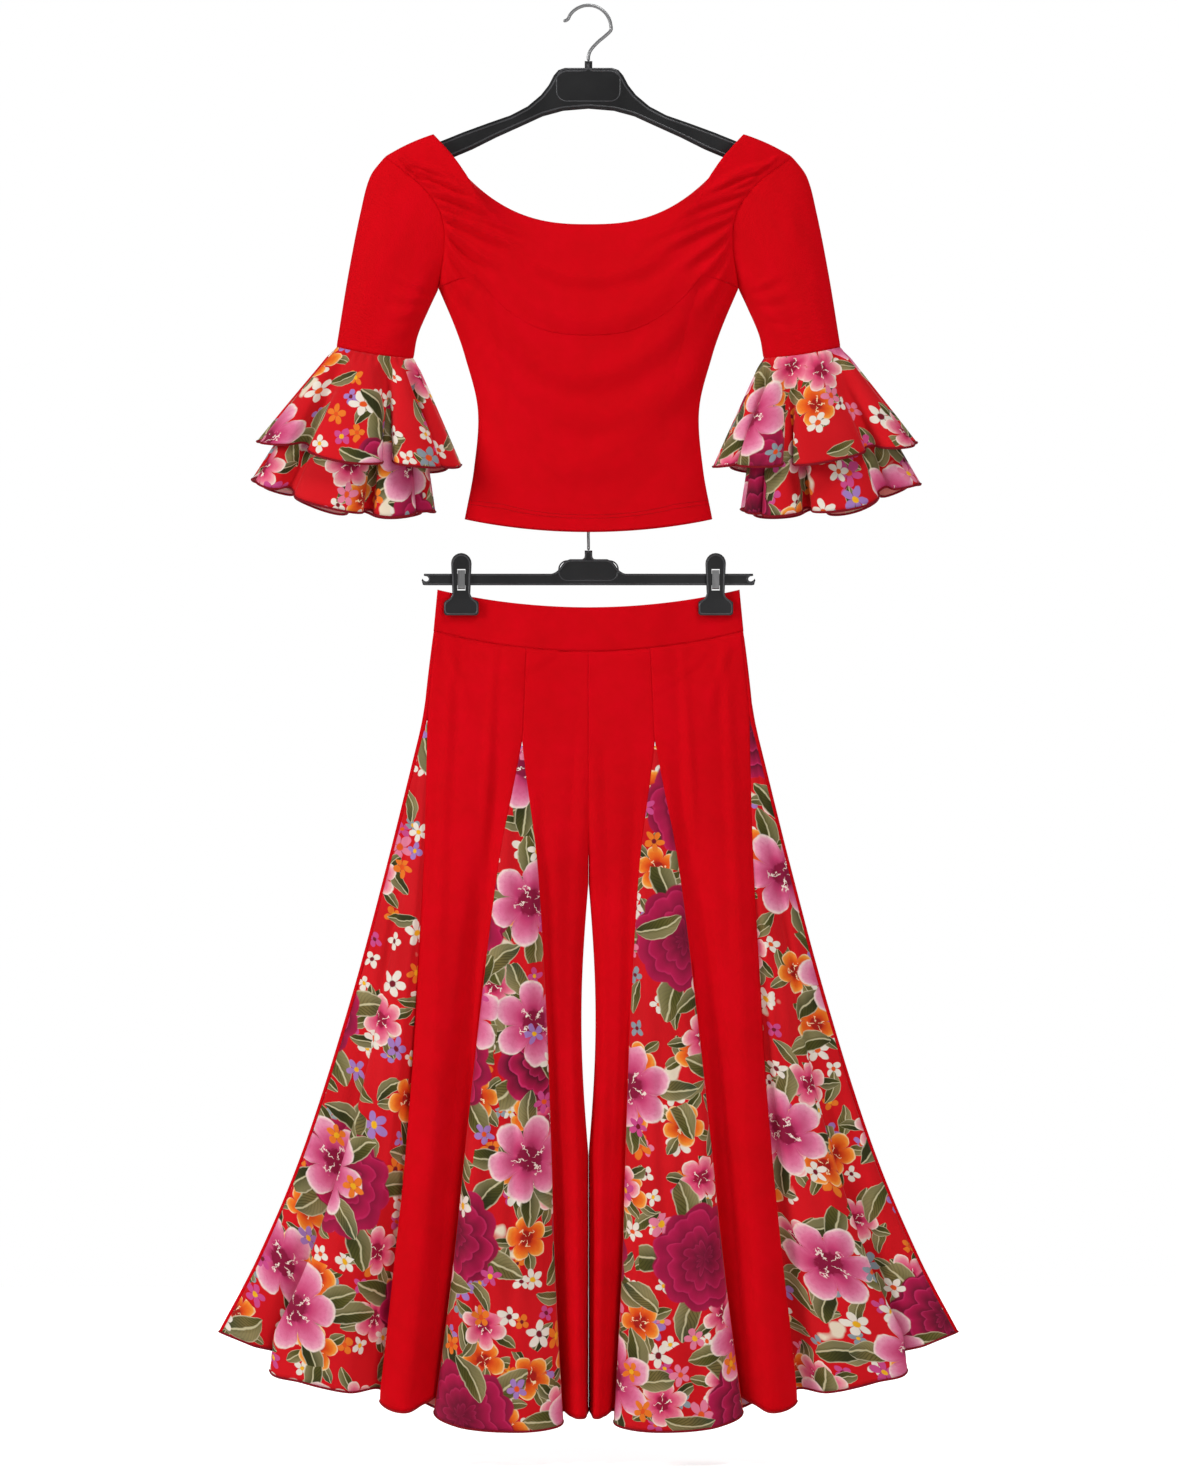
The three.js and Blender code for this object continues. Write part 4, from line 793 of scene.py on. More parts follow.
# Colours of the flowers, from the eye or the folds to the rim; those of the small ones by share
CRIMSON = ("#4e0820", "#8a0c36", "#b5124a", "#cf2f68")
ORANGE = ("#a8180f", "#e0450f", "#f3761c", "#f9a23c", "#fbe0b0")
BLUSH = ("#9c0f38", "#dd3d6c", "#f07f98", "#f8bcb8", "#fdeee0")
PINK = ("#8c0f3a", "#cc3f72", "#e5789f", "#f2a9c0", "#fae6da")
SMALL = (
    (0, "#efe4d6"), (0.24, "#cf4a8a"), (0.44, "#a67cc0"), (0.56, "#efe4d6"), (0.7, "#ee7a22"),
    (0.84, "#8d9aa2"), (0.93, "#e87f9c"),
)
# The print from the lowest motifs up: seed, cells a metre, share of the cells left empty, and look
LAYERS = (
    (blossoms, 3.0, 30, 0.5, dict(petals=4, ramp=SMALL)),
    (leaves, 7.0, 20, 0.45, {}),
    (blossoms, 5.0, 19, 0.5, dict(petals=5, ramp=SMALL)),
    (camellias, 9.0, 13.0, 0.55, dict(petals=5, tones=ORANGE)),
    (camellias, 11.0, 12.0, 0.6, dict(petals=6, tones=BLUSH)),
    (roses, 13.0, 5.4, 0.45, dict(tones=CRIMSON)),
    (leaves, 15.0, 14.0, 0.72, dict(wide=0.19)),
    (camellias, 17.0, 6.6, 0.4, dict(petals=6, tones=PINK)),
    (blossoms, 19.0, 24, 0.78, dict(petals=5, ramp=SMALL)),
)


def floral_print(name, faded):
    """Printed crepe: a generic scatter of garden flowers and leaves on red."""
    material, nodes, shader = new_material(
        name, Roughness=0.78, Sheen_Weight=0.06, Sheen_Roughness=0.5, Specular_IOR_Level=0.15
    )
    uv = cloth_uv(nodes)
    wobble = nodes.add("ShaderNodeTexNoise", {"Vector": uv, "Scale": 34.0, "Detail": 3.0}).outputs["Color"]
    shift = nodes.vector("MULTIPLY", nodes.vector("SUBTRACT", wobble, (0.5, 0.5, 0.5)), (0.011, 0.011, 0))
    painted = nodes.vector("ADD", uv, shift)
    ground = nodes.add("ShaderNodeTexNoise", {"Vector": uv, "Scale": 9.0, "Detail": 3.0}).outputs["Fac"]
    colour = nodes.ramp(ground, (0.35, "#cc0512"), (0.6, "#d90a18"))
    patch = nodes.add("ShaderNodeTexNoise", {"Vector": painted, "Scale": 13.0, "Detail": 2.0}).outputs["Fac"]
    colour = nodes.blend(nodes.step(patch, 0.655, 0.675), colour, linear("#ecdcc2"))
    for motif, seed, scale, least, look in LAYERS:
        colour = motif(nodes, painted, colour, seed, scale, least, **look)
    if faded:
        colour = nodes.blend(0.55, colour, linear("#e8a59a"))
    weave = nodes.add("ShaderNodeTexNoise", {"Vector": uv, "Scale": 900.0, "Detail": 2.0}).outputs["Fac"]
    colour = nodes.blend(nodes.math("MULTIPLY", weave, 0.12), colour, linear("#3a0408"))
    nodes.tree.links.new(colour, shader.inputs["Base Color"])
    bumped(nodes, shader, weave, 0.00015, 0.6)
    return material


def thread(name, hexa):
    """Overlock and sewing thread: a twisted strand with a dull shine."""
    material, nodes, shader = new_material(name, Roughness=0.7, Specular_IOR_Level=0.2)
    where = nodes.add("ShaderNodeTexCoord").outputs["Object"]
    twist = nodes.add(
        "ShaderNodeTexWave",
        {"Vector": where, "Scale": bands(THREAD_TWIST), "Distortion": 2.0},
        bands_direction="DIAGONAL",
    ).outputs["Fac"]
    base = linear(hexa)
    colour = nodes.blend(twist, tuple(c * 0.6 for c in base[:3]) + (1,), base)
    nodes.tree.links.new(colour, shader.inputs["Base Color"])
    bumped(nodes, shader, twist, 0.0003, 0.8)
    return material


def moulded_plastic(name, dark, light):
    """Black injection-moulded plastic: fine grain, faint flow marks, and a painted highlight that lightens
    its sharp edges.
    """
    material, nodes, shader = new_material(name, Roughness=0.38, IOR=1.48, Specular_IOR_Level=0.5)
    where = nodes.add("ShaderNodeTexCoord").outputs["Object"]
    grain = nodes.add("ShaderNodeTexNoise", {"Vector": where, "Scale": 1400.0, "Detail": 2.0}).outputs["Fac"]
    flow = nodes.add("ShaderNodeTexNoise", {"Vector": where, "Scale": 18.0, "Detail": 3.0}).outputs["Fac"]
    edge = nodes.add("ShaderNodeNewGeometry").outputs["Pointiness"]
    # painted highlight: sharp, pointy edges turn a lighter grey, as bevels that catch the light would
    edge_highlight = nodes.math("MULTIPLY", nodes.step(edge, 0.52, 0.6), 0.4)
    colour = nodes.blend(edge_highlight, nodes.ramp(flow, (0.3, dark), (0.7, light)), linear("#303032"))
    nodes.tree.links.new(colour, shader.inputs["Base Color"])
    rough = nodes.math("ADD", nodes.math("MULTIPLY", flow, 0.2), 0.28)
    nodes.tree.links.new(rough, shader.inputs["Roughness"])
    bumped(nodes, shader, grain, 0.00008, 0.5)
    return material


def soft_rubber():
    """Ribbed rubber of the clip pads."""
    material, nodes, shader = new_material("black_rubber", Roughness=0.85, IOR=1.45)
    where = nodes.add("ShaderNodeTexCoord").outputs["Object"]
    ribs = nodes.add(
        "ShaderNodeTexWave", {"Vector": where, "Scale": bands(PAD_RIB)}, bands_direction="Z"
    ).outputs["Fac"]
    dust = nodes.add("ShaderNodeTexNoise", {"Vector": where, "Scale": 300.0, "Detail": 4.0}).outputs["Fac"]
    nodes.tree.links.new(nodes.ramp(dust, (0.4, "#121213"), (0.8, "#232326")), shader.inputs["Base Color"])
    bumped(nodes, shader, ribs, 0.0004, 0.6)
    return material


def drawn_steel():
    """Bright drawn wire with fine lengthwise marks in its colour and roughness."""
    material, nodes, shader = new_material("steel", Metallic=0.75, Roughness=0.3)
    where = nodes.add("ShaderNodeTexCoord").outputs["Object"]
    streaks = nodes.add(
        "ShaderNodeTexNoise",
        {"Vector": nodes.vector("MULTIPLY", where, (900.0, 900.0, 60.0)), "Scale": 1.0, "Detail": 3.0},
    ).outputs["Fac"]
    nodes.tree.links.new(nodes.ramp(streaks, (0.3, "#939394"), (0.7, "#9d9d9e")), shader.inputs["Base Color"])
    rough = nodes.math("ADD", nodes.math("MULTIPLY", streaks, 0.1), 0.34)
    nodes.tree.links.new(rough, shader.inputs["Roughness"])
    return material


RED = jersey()
PRINT = floral_print("printed_cloth", faded=False)
REVERSE = floral_print("printed_cloth_reverse", faded=True)
HEM_THREAD = thread("dark_red_overlock", "#9c0a20")
RED_THREAD = thread("red_thread", "#b3040f")
PLASTIC = moulded_plastic("black_plastic", "#101011", "#19191a")
# A much lighter grey copy of the black plastic for the rim and plaque beads: painted highlight along the
# rounded edges.
PLASTIC_HIGHLIGHT = moulded_plastic("black_plastic_painted_highlight", "#39393b", "#47474a")
RUBBER = soft_rubber()
STEEL = drawn_steel()

# ---------------------------------------------------------------- pieces of cloth


def grid_normals(points, closed):
    """The directions in which a grid of points faces."""
    across = np.gradient(points, axis=1)
    if closed:
        ring = points[:, :-1]
        across = (np.roll(ring, -1, axis=1) - np.roll(ring, 1, axis=1)) / 2
        across = np.concatenate([across, across[:, :1]], axis=1)
    return unit(np.cross(across, np.gradient(points, axis=0)))


def smooth_mesh(name, vertices, faces, material_of_face, materials):
    """A mesh from points in mm, smooth, with a material number for each face."""
    mesh = bpy.data.meshes.new(name)
    mesh.from_pydata((np.asarray(vertices) * MM).tolist(), [], faces)
    for material in materials:
        mesh.materials.append(material)
    mesh.polygons.foreach_set("material_index", material_of_face)
    mesh.polygons.foreach_set("use_smooth", [True] * len(mesh.polygons))
    mesh.update()
    obj = bpy.data.objects.new(name, mesh)
    bpy.context.scene.collection.objects.link(obj)
    return obj


def place_of(points, closed):
    """Where each point lies on the flat cloth, in metres.

    A closed piece is a ring sector, cut round as a flounce is. Other pieces lie as they hang.
    """
    steps = np.linalg.norm(np.diff(points, axis=1), axis=-1)
    across = np.concatenate([np.zeros((len(points), 1)), np.cumsum(steps, axis=1)], axis=1)
    k = points.shape[1] // 2
    fall = np.diff(points[:, k], axis=0)
    if closed:
        down = np.concatenate([[0], np.cumsum(np.linalg.norm(fall, axis=-1))])
        growth = max((across[-1, -1] - across[0, -1]) / down[-1], 0.15)
        inner = across[0, -1] / growth
        turn = across / across[:, -1:] * growth
        reach = (inner + down)[:, None]
        return np.stack([reach * np.cos(turn), reach * np.sin(turn)], -1) * MM
    down = np.concatenate([[0], np.cumsum(np.hypot(fall[:, 1], fall[:, 2]))])
    across = across - across[:, k : k + 1] + points[:, k : k + 1, 0]
    return np.stack([across, np.repeat(-down[:, None], points.shape[1], axis=1)], -1) * MM


def tube_faces(count, sides, closed):
    """Faces between rings of points, and over both ends of a tube that isn't closed."""
    faces = []
    for i in range(count if closed else count - 1):
        here, there = i * sides, (i + 1) % count * sides
        for k in range(sides):
            turn = (k + 1) % sides
            faces.append((here + k, here + turn, there + turn, there + k))
    if not closed:
        faces.append(tuple(reversed(range(sides))))
        faces.append(tuple((count - 1) * sides + k for k in range(sides)))
    return faces


def tube(path, radius, sides, closed):
    """A round tube along a path, as vertices and faces."""
    ahead = np.roll(path, -1, axis=0) if closed else np.concatenate([path[1:], path[-1:] * 2 - path[-2:-1]])
    behind = np.roll(path, 1, axis=0) if closed else np.concatenate([path[:1] * 2 - path[1:2], path[:-1]])
    way = unit(ahead - behind)
    side = unit(np.cross(way, np.tile([0.0, 0.0, 1.0], (len(path), 1))))
    up = np.cross(side, way)
    angles = np.arange(sides) * TAU / sides
    ring = side[:, None] * np.cos(angles)[None, :, None] + up[:, None] * np.sin(angles)[None, :, None]
    vertices = (path[:, None] + radius * ring).reshape(-1, 3)
    return vertices, [face[::-1] for face in tube_faces(len(path), sides, closed)]


SHEETS = []


def cloth(node, points, facing_out, materials, held, closed=False, offset=(0, 0, 0), hem=None, seed=0.0):
    """Turn rows of points on the middle of the cloth into a thin closed shell, with a rolled hem.

    facing_out is a direction, or an array of them, that the outer face looks towards.
    """
    points = points + np.array(offset, float)
    normals = grid_normals(points, closed)
    toward = np.sum(normals * facing_out, axis=-1)
    normals = normals * (1 if toward.sum() > 0 else -1)
    uv = place_of(points, closed)
    uv[..., 0] += seed
    uv[..., 1] += seed * 0.73
    rows, columns = points.shape[:2]
    wide = columns - 1 if closed else columns
    outer = (points + normals * CLOTH / 2)[:, :wide].reshape(-1, 3)
    inner = (points - normals * CLOTH / 2)[:, :wide].reshape(-1, 3)
    vertices = np.concatenate([outer, inner])
    half = len(outer)
    faces, kinds, corners = [], [], []

    def number(j, i):
        return j * wide + i % wide

    def face(ids, marks, kind):
        faces.append(ids)
        kinds.append(kind)
        corners.extend(marks)

    flip = np.sum(np.cross(points[0, 1] - points[0, 0], points[1, 0] - points[0, 0]) * normals[0, 0]) < 0
    back = 1 if len(materials) > 1 else 0
    for j in range(rows - 1):
        for i in range(columns - 1):
            ids = [number(j, i), number(j, i + 1), number(j + 1, i + 1), number(j + 1, i)]
            marks = [(j, i), (j, i + 1), (j + 1, i + 1), (j + 1, i)]
            if flip:
                ids.reverse()
                marks.reverse()
            face(tuple(ids), marks, 0)
            face(tuple(k + half for k in reversed(ids)), marks[::-1], back)
    edge = [((0, i), (0, i + 1)) for i in range(columns - 1)]
    edge += [((rows - 1, i + 1), (rows - 1, i)) for i in range(columns - 1)]
    if not closed:
        edge += [((j + 1, 0), (j, 0)) for j in range(rows - 1)]
        edge += [((j, columns - 1), (j + 1, columns - 1)) for j in range(rows - 1)]
    for a, b in edge:
        if flip:
            a, b = b, a
        ia, ib = number(*a), number(*b)
        face((ib, ia, ia + half, ib + half), (b, a, a, b), 0)
    slots = list(materials)
    if hem is not None:
        hem_vertices, hem_faces = tube(points[-1, :wide], HEM_ROLL, 6, closed)
        start = len(vertices)
        vertices = np.concatenate([vertices, hem_vertices])
        slots.append(hem)
        for ids in hem_faces:
            face(tuple(k + start for k in ids), [(rows - 1, 0)] * len(ids), len(slots) - 1)
    obj = smooth_mesh(node + "_cloth", vertices, faces, kinds, slots)
    layer = obj.data.uv_layers.new(name="cloth")
    flat = np.array([uv[j, i % uv.shape[1]] for j, i in corners])
    layer.data.foreach_set("uv", flat.ravel())
    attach(obj, "root")
    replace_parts(obj, node)
    steps = np.linalg.norm(np.diff(points, axis=1), axis=-1).sum(axis=1)
    lengths = np.linalg.norm(np.diff(points, axis=0), axis=-1).sum(axis=0)
    cell_a = points[1:, :-1] - points[:-1, :-1]
    cell_b = points[:-1, 1:] - points[:-1, :-1]
    area = np.linalg.norm(np.cross(cell_a, cell_b), axis=-1).sum() * MM * MM
    SHEETS.append((obj, node, steps.max() * MM, lengths.max() * MM, area, held))
    return obj, points, normals


def levels(count, low=0.0, high=1.0):
    return np.linspace(low, high, count)


def crowded(count):
    """Shares from 0 to 1 that lie closer together at both ends."""
    return (1 - np.cos(np.linspace(0, math.pi, count))) / 2


def mirror(points, sign):
    """The same points on the other side where the sign is -1."""
    out = points.copy()
    out[..., 0] *= sign
    return out


def sewn_in(points, normals_in, edges, depth=0.5, reach=2.4):
    """Let the cloth dip into its seams, along the named edges of the grid."""
    rows, columns = points.shape[:2]
    dip = np.zeros((rows, columns))
    for edge in edges:
        if edge in ("first_row", "last_row"):
            run = np.linalg.norm(np.diff(points, axis=0), axis=-1)
            run = np.concatenate([np.zeros((1, columns)), np.cumsum(run, axis=0)])
            away = run if edge == "first_row" else run[-1:] - run
        else:
            run = np.linalg.norm(np.diff(points, axis=1), axis=-1)
            run = np.concatenate([np.zeros((rows, 1)), np.cumsum(run, axis=1)], axis=1)
            away = run if edge == "first_column" else run[:, -1:] - run
        dip = np.maximum(dip, np.exp(-((away / reach) ** 2)))
    return points - normals_in * (depth * dip)[..., None]


FRONT = np.array([0.0, -1.0, 0.0])
BACK = np.array([0.0, 1.0, 0.0])
TROUSERS_AT = TROUSERS_Y * BACK


def outward(points, closed=False, toward=None):
    normals = grid_normals(points, closed)
    if toward is None:
        toward = points - points.mean(axis=1, keepdims=True)
    return normals * (1 if np.sum(normals * toward) > 0 else -1)


def build_top():
    """Bodice, sleeves and flounces."""
    for node, facing, columns, rows in (("bodice_front", -1, 161, 190), ("bodice_back", 1, 105, 120)):
        u = np.unique(np.concatenate([crowded(columns), [SHOULDER_SHARE, 1 - SHOULDER_SHARE]]))
        v = np.concatenate([levels(rows, 0, 0.965)[:-1], levels(22, 0.965, 1)])
        grid_u, grid_v = np.meshgrid(u, v)
        points = bodice(grid_u, grid_v, facing)
        look = FRONT if facing < 0 else BACK
        points = sewn_in(points, outward(points, toward=look), ("first_column", "last_column"), 0.4)
        cloth(node, points, look, [RED], "hung", seed=0.3 * facing)
        hem_lines.append(points)
    for word, sign in (("left", -1), ("right", 1)):
        angle, v = np.meshgrid(levels(97, 0, TAU), levels(74))
        points = mirror(sleeve(angle, v), sign)
        points = sewn_in(points, outward(points, True), ("first_row", "last_row"), 0.5)
        cloth(f"sleeve_{word}", points, outward(points, True), [RED], "hung", closed=True, seed=sign * 0.5)
        for k, (name, tier) in enumerate(TIERS.items()):
            angle, t = np.meshgrid(levels(289, 0, TAU), levels(36))
            points = mirror(flounce(angle, t, tier, word, 1.3 * k + sign), sign)
            node = f"flounce_{name}_{word}"
            away = outward(points, True)
            place = 2.0 + 1.7 * k + 0.9 * sign
            cloth(node, points, away, [PRINT, REVERSE], "gathered", closed=True, hem=HEM_THREAD, seed=place)
            stitched_hems.append((points[-1], away[-1], True))


LEG_PIECES = [
    ("godet_side", 0, SEAM_AT["side"], 60, SIDE_APEX, FRONT),
    ("front_outer", SEAM_AT["side"], SEAM_AT["outer"], 56, -1, FRONT),
    ("godet_front", SEAM_AT["outer"], SEAM_AT["inner"], 46, APEX, FRONT),
    ("front_inner", SEAM_AT["inner"], INSEAM, 46, -1, FRONT),
    ("back_inner", INSEAM + 1, SEAM_AT["backInner"], 36, -1, BACK),
    ("godet_back", SEAM_AT["backInner"], SEAM_AT["backOuter"], 34, APEX, BACK),
    ("back_outer", SEAM_AT["backOuter"], COUNT, 60, -1, BACK),
]


# Hanging folds of a leg: (x, z) where each starts and ends, width and height, on the right leg
FRONT_FOLDS = table(
    "x0 z0 x1 z1 x2 z2 wide high",
    (112, -770, 128, -1090, 148, -1620, 7, 2.6),
    (114, -940, 154, -1270, 186, -1640, 12, -9.0),
    (90, -880, 97, -1060, 104, -1500, 7, 1.3),
    (160, -760, 172, -960, 184, -1280, 7, 1.8),
    (62, -930, 70, -1180, 84, -1600, 7, 1.8),
    (38, -960, 40, -1200, 44, -1600, 9, 1.2),
    (16, -870, 22, -1060, 27, -1520, 8, -1.4),
    (104, -1100, 128, -1370, 148, -1650, 9, 4.2),
    (86, -1220, 88, -1400, 92, -1640, 7, -1.8),
    (230, -1010, 268, -1280, 318, -1600, 8, 2.4),
    (212, -1060, 238, -1320, 272, -1630, 8, -2.0),
    (262, -1040, 312, -1280, 374, -1560, 8, 2.0),
    (140, -757, 100, -790, 66, -802, 5, 1.1),
    (168, -752, 150, -800, 140, -860, 6, 1.2),
    (30, -745, 60, -772, 100, -780, 5, 0.8),
)
BACK_FOLDS = table(
    "x0 z0 x1 z1 x2 z2 wide high",
    (60, -770, 74, -1080, 96, -1620, 8, 2.4),
    (104, -800, 132, -1150, 170, -1600, 9, -2.2),
    (140, -790, 178, -1120, 232, -1580, 8, 2.6),
    (170, -800, 232, -1180, 310, -1600, 9, 2.0),
    (32, -840, 36, -1150, 42, -1600, 6, 1.8),
    (196, -900, 280, -1260, 372, -1580, 9, -2.0),
    (20, -742, 56, -790, 60, -850, 6, 1.4),
    (90, -1000, 110, -1300, 128, -1640, 8, 1.6),
)


def leg_relief(points, normals, look, side, seed):
    """Hanging folds, and soft swells and drag lines between them."""
    x, z = points[..., 0], points[..., 2]
    down = np.clip((BAND_SEAM_Z - z) / 900, 0, 1)
    folds = creases(x, z, FRONT_FOLDS if look is FRONT else BACK_FOLDS, 3.0 * math.sin(2 * side))
    swell = 0.9 * np.sin(x / 19 + 1.4 * np.sin(z / 170 + seed) + seed) * smoothstep(down, 0.05, 0.4)
    drag = 0.6 * np.sin((x - 0.35 * z) / 14 + seed) * bump(down, 0.05, 0.07) * smoothstep(down, 0, 0.02)
    quiet = 0.3 * np.sin(z / 31 + x / 47 + 2 * seed) * smoothstep(down, 0.1, 0.3)
    softly = normals * (swell + drag + quiet)[..., None]
    folds = np.stack([0 * x, folds * normals[..., 1], 0 * x], -1)
    return softly, folds


def build_trousers():
    """Waistband, panels and godets."""
    for word, sign in (("left", -1), ("right", 1)):
        for k, (name, first, last, columns, apex, look) in enumerate(LEG_PIECES):
            start = 0 if apex < 0 else apex + 0.008
            count = 150 if look is FRONT else 96
            apexes = [level for level in (SIDE_APEX, APEX) if level > start]
            v = np.unique(np.concatenate([levels(count, start, 1), apexes]))
            points = leg_grid(first, last, v, columns)
            rim = outward(points, toward=look)
            edges = [] if apex > 0 else ["first_row"]
            edges += [] if name == "back_inner" else ["first_column"]
            edges += [] if name == "front_inner" else ["last_column"]
            softly, folds = leg_relief(points, rim, look, sign, k + 0.5 * sign)
            across = np.linspace(0, 1, columns)[None, :]
            fade = smoothstep(np.minimum(across, 1 - across), 0, 0.18) * np.ones((len(v), 1))
            points = points + softly * fade[..., None] + folds
            points = sewn_in(points, rim, edges, 0.5)
            points = mirror(points, sign)
            printed = name.startswith("godet")
            materials, hem = ([PRINT, REVERSE], HEM_THREAD) if printed else ([RED], RED_THREAD)
            place = 5 + 1.31 * k + 3.7 * sign
            cloth(f"{name}_{word}", points, look, materials, "hung", offset=TROUSERS_AT, hem=hem, seed=place)
            if printed:
                stitched_hems.append((points[-1] + TROUSERS_AT, outward(points, toward=look)[-1], False))
    for name, look, low in (("waistband_front", FRONT, 0), ("waistband_back", BACK, math.pi)):
        angle, v = np.meshgrid(levels(241, low, low + math.pi), levels(20))
        points = waistband(angle, v)
        rim = outward(points, toward=look)
        swell = 0.5 * np.sin(points[..., 0] / 11) * (1 - smoothstep(np.abs(points[..., 0]), 80, 118))
        points = points + rim * (swell * np.sin(math.pi * v))[..., None]
        points = sewn_in(points, rim, ("first_row", "first_column", "last_column"), 0.5)
        cloth(name, points, look, [RED], "hung", offset=TROUSERS_AT, seed=9.0)


# ---------------------------------------------------------------- stitches by Geometry Nodes


def stitch_tree():
    """Puts a bent strand of thread on each point, turned to its `along` and `outward` attributes."""
    tree = bpy.data.node_groups.new("stitches", "GeometryNodeTree")
    inputs = {"Points": "Geometry", "Length": "Float", "Radius": "Float", "Thread": "Material"}
    for label, kind in inputs.items():
        tree.interface.new_socket(label, in_out="INPUT", socket_type="NodeSocket" + kind)
    tree.interface.new_socket("Stitches", in_out="OUTPUT", socket_type="NodeSocketGeometry")
    nodes = Nodes(tree)
    given = nodes.add("NodeGroupInput").outputs
    half = nodes.math("MULTIPLY", given["Length"], 0.5)
    rise = nodes.math("MULTIPLY", given["Radius"], 1.6)
    start = nodes.add("ShaderNodeCombineXYZ", {"X": nodes.math("MULTIPLY", half, -1)}).outputs[0]
    end = nodes.add("ShaderNodeCombineXYZ", {"X": half}).outputs[0]
    top = nodes.add("ShaderNodeCombineXYZ", {"Z": rise}).outputs[0]
    bend = {"Resolution": 4, "Start": start, "Middle": top, "End": end}
    arc = nodes.add("GeometryNodeCurveQuadraticBezier", bend)
    ring = nodes.add("GeometryNodeCurvePrimitiveCircle", {"Resolution": 5, "Radius": given["Radius"]})
    strand = nodes.add(
        "GeometryNodeCurveToMesh",
        {"Curve": arc.outputs[0], "Profile Curve": ring.outputs[0], "Fill Caps": True},
    )
    along, out = (
        nodes.add("GeometryNodeInputNamedAttribute", {"Name": label}, data_type="FLOAT_VECTOR").outputs[0]
        for label in ("along", "outward")
    )
    laid = nodes.add("FunctionNodeAlignRotationToVector", {"Vector": along}, axis="X").outputs[0]
    turned = nodes.add(
        "FunctionNodeAlignRotationToVector", {"Rotation": laid, "Vector": out}, axis="Z", pivot_axis="X"
    )
    placed = nodes.add(
        "GeometryNodeInstanceOnPoints",
        {"Points": given["Points"], "Instance": strand.outputs[0], "Rotation": turned.outputs[0]},
    )
    real = nodes.add("GeometryNodeRealizeInstances", {"Geometry": placed.outputs[0]})
    coated = nodes.add("GeometryNodeSetMaterial", {"Geometry": real.outputs[0], "Material": given["Thread"]})
    nodes.add("NodeGroupOutput", {"Stitches": coated.outputs[0]})
    return tree


def stitches(name, points, along, out, length, radius, material, slot):
    """Strands of thread at lists of points, as one finished mesh."""
    points, along, out = np.concatenate(points), np.concatenate(along), np.concatenate(out)
    mesh = bpy.data.meshes.new(name + "_points")
    mesh.from_pydata((points * MM).tolist(), [], [])
    for label, values in (("along", along), ("outward", out)):
        attribute = mesh.attributes.new(label, "FLOAT_VECTOR", "POINT")
        attribute.data.foreach_set("vector", values.astype(np.float32).ravel())
    obj = bpy.data.objects.new(name, mesh)
    bpy.context.scene.collection.objects.link(obj)
    modifier = obj.modifiers.new("stitches", "NODES")
    modifier.node_group = STITCHES
    sizes = {"Length": length * MM, "Radius": radius * MM, "Thread": material}
    for item in STITCHES.interface.items_tree:
        if item.in_out == "INPUT" and item.name in sizes:
            modifier[item.identifier] = sizes[item.name]
    evaluated = obj.evaluated_get(bpy.context.evaluated_depsgraph_get())
    finished = bpy.data.meshes.new_from_object(evaluated)
    obj.modifiers.remove(modifier)
    obj.data = finished
    obj.data.polygons.foreach_set("use_smooth", [True] * len(obj.data.polygons))
    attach(obj, "root")
    return obj


def walk(path, spacing, closed=False, inset=0.0):
    """Points at an even spacing along a path, with the way it runs at each."""
    if closed:
        path = np.concatenate([path, path[:1]]) if np.linalg.norm(path[0] - path[-1]) > 1e-6 else path
    run = np.concatenate([[0], np.cumsum(np.linalg.norm(np.diff(path, axis=0), axis=-1))])
    places = np.arange(inset + spacing / 2, run[-1] - inset, spacing)
    at = np.stack([np.interp(places, run, path[:, k]) for k in range(3)], -1)
    ahead = np.stack([np.interp(places + 0.4, run, path[:, k]) for k in range(3)], -1)
    behind = np.stack([np.interp(places - 0.4, run, path[:, k]) for k in range(3)], -1)
    return at, unit(ahead - behind), places, run


hem_lines = []
stitched_hems = []
build_top()
build_trousers()
STITCHES = stitch_tree()


# Length and radius of a strand of thread, and how far apart strands lie, in mm
OVERLOCK_THREAD, OVERLOCK_SPACING = (1.7, 0.17), 2.3
HEM_THREAD_SIZE, HEM_SPACING = (2.3, 0.2), 3.2
HEM_ROWS = (15.0, 19.0)  # height of the two rows of stitches above the hem of the top


def overlock(word, picked):
    """Loops of thread wound round the rolled hems."""
    at, along, out = [], [], []
    for path, normals, closed in picked:
        places, way, marks, run = walk(path, OVERLOCK_SPACING, closed)
        face = np.stack([np.interp(marks, run[: len(normals)], normals[: len(run), k]) for k in range(3)], -1)
        side = unit(face - way * np.sum(face * way, axis=-1, keepdims=True))
        down = np.cross(way, side)
        at.append(places + side * (HEM_ROLL - 0.05))
        along.append(unit(down + 0.35 * way))
        out.append(side)
    stitches(f"overlock_{word}", at, along, out, *OVERLOCK_THREAD, HEM_THREAD, "printed_cloth")


def on_left(entry):
    return entry[0][:, 0].mean() < 0


overlock("left", [entry for entry in stitched_hems if on_left(entry)])
overlock("right", [entry for entry in stitched_hems if not on_left(entry)])


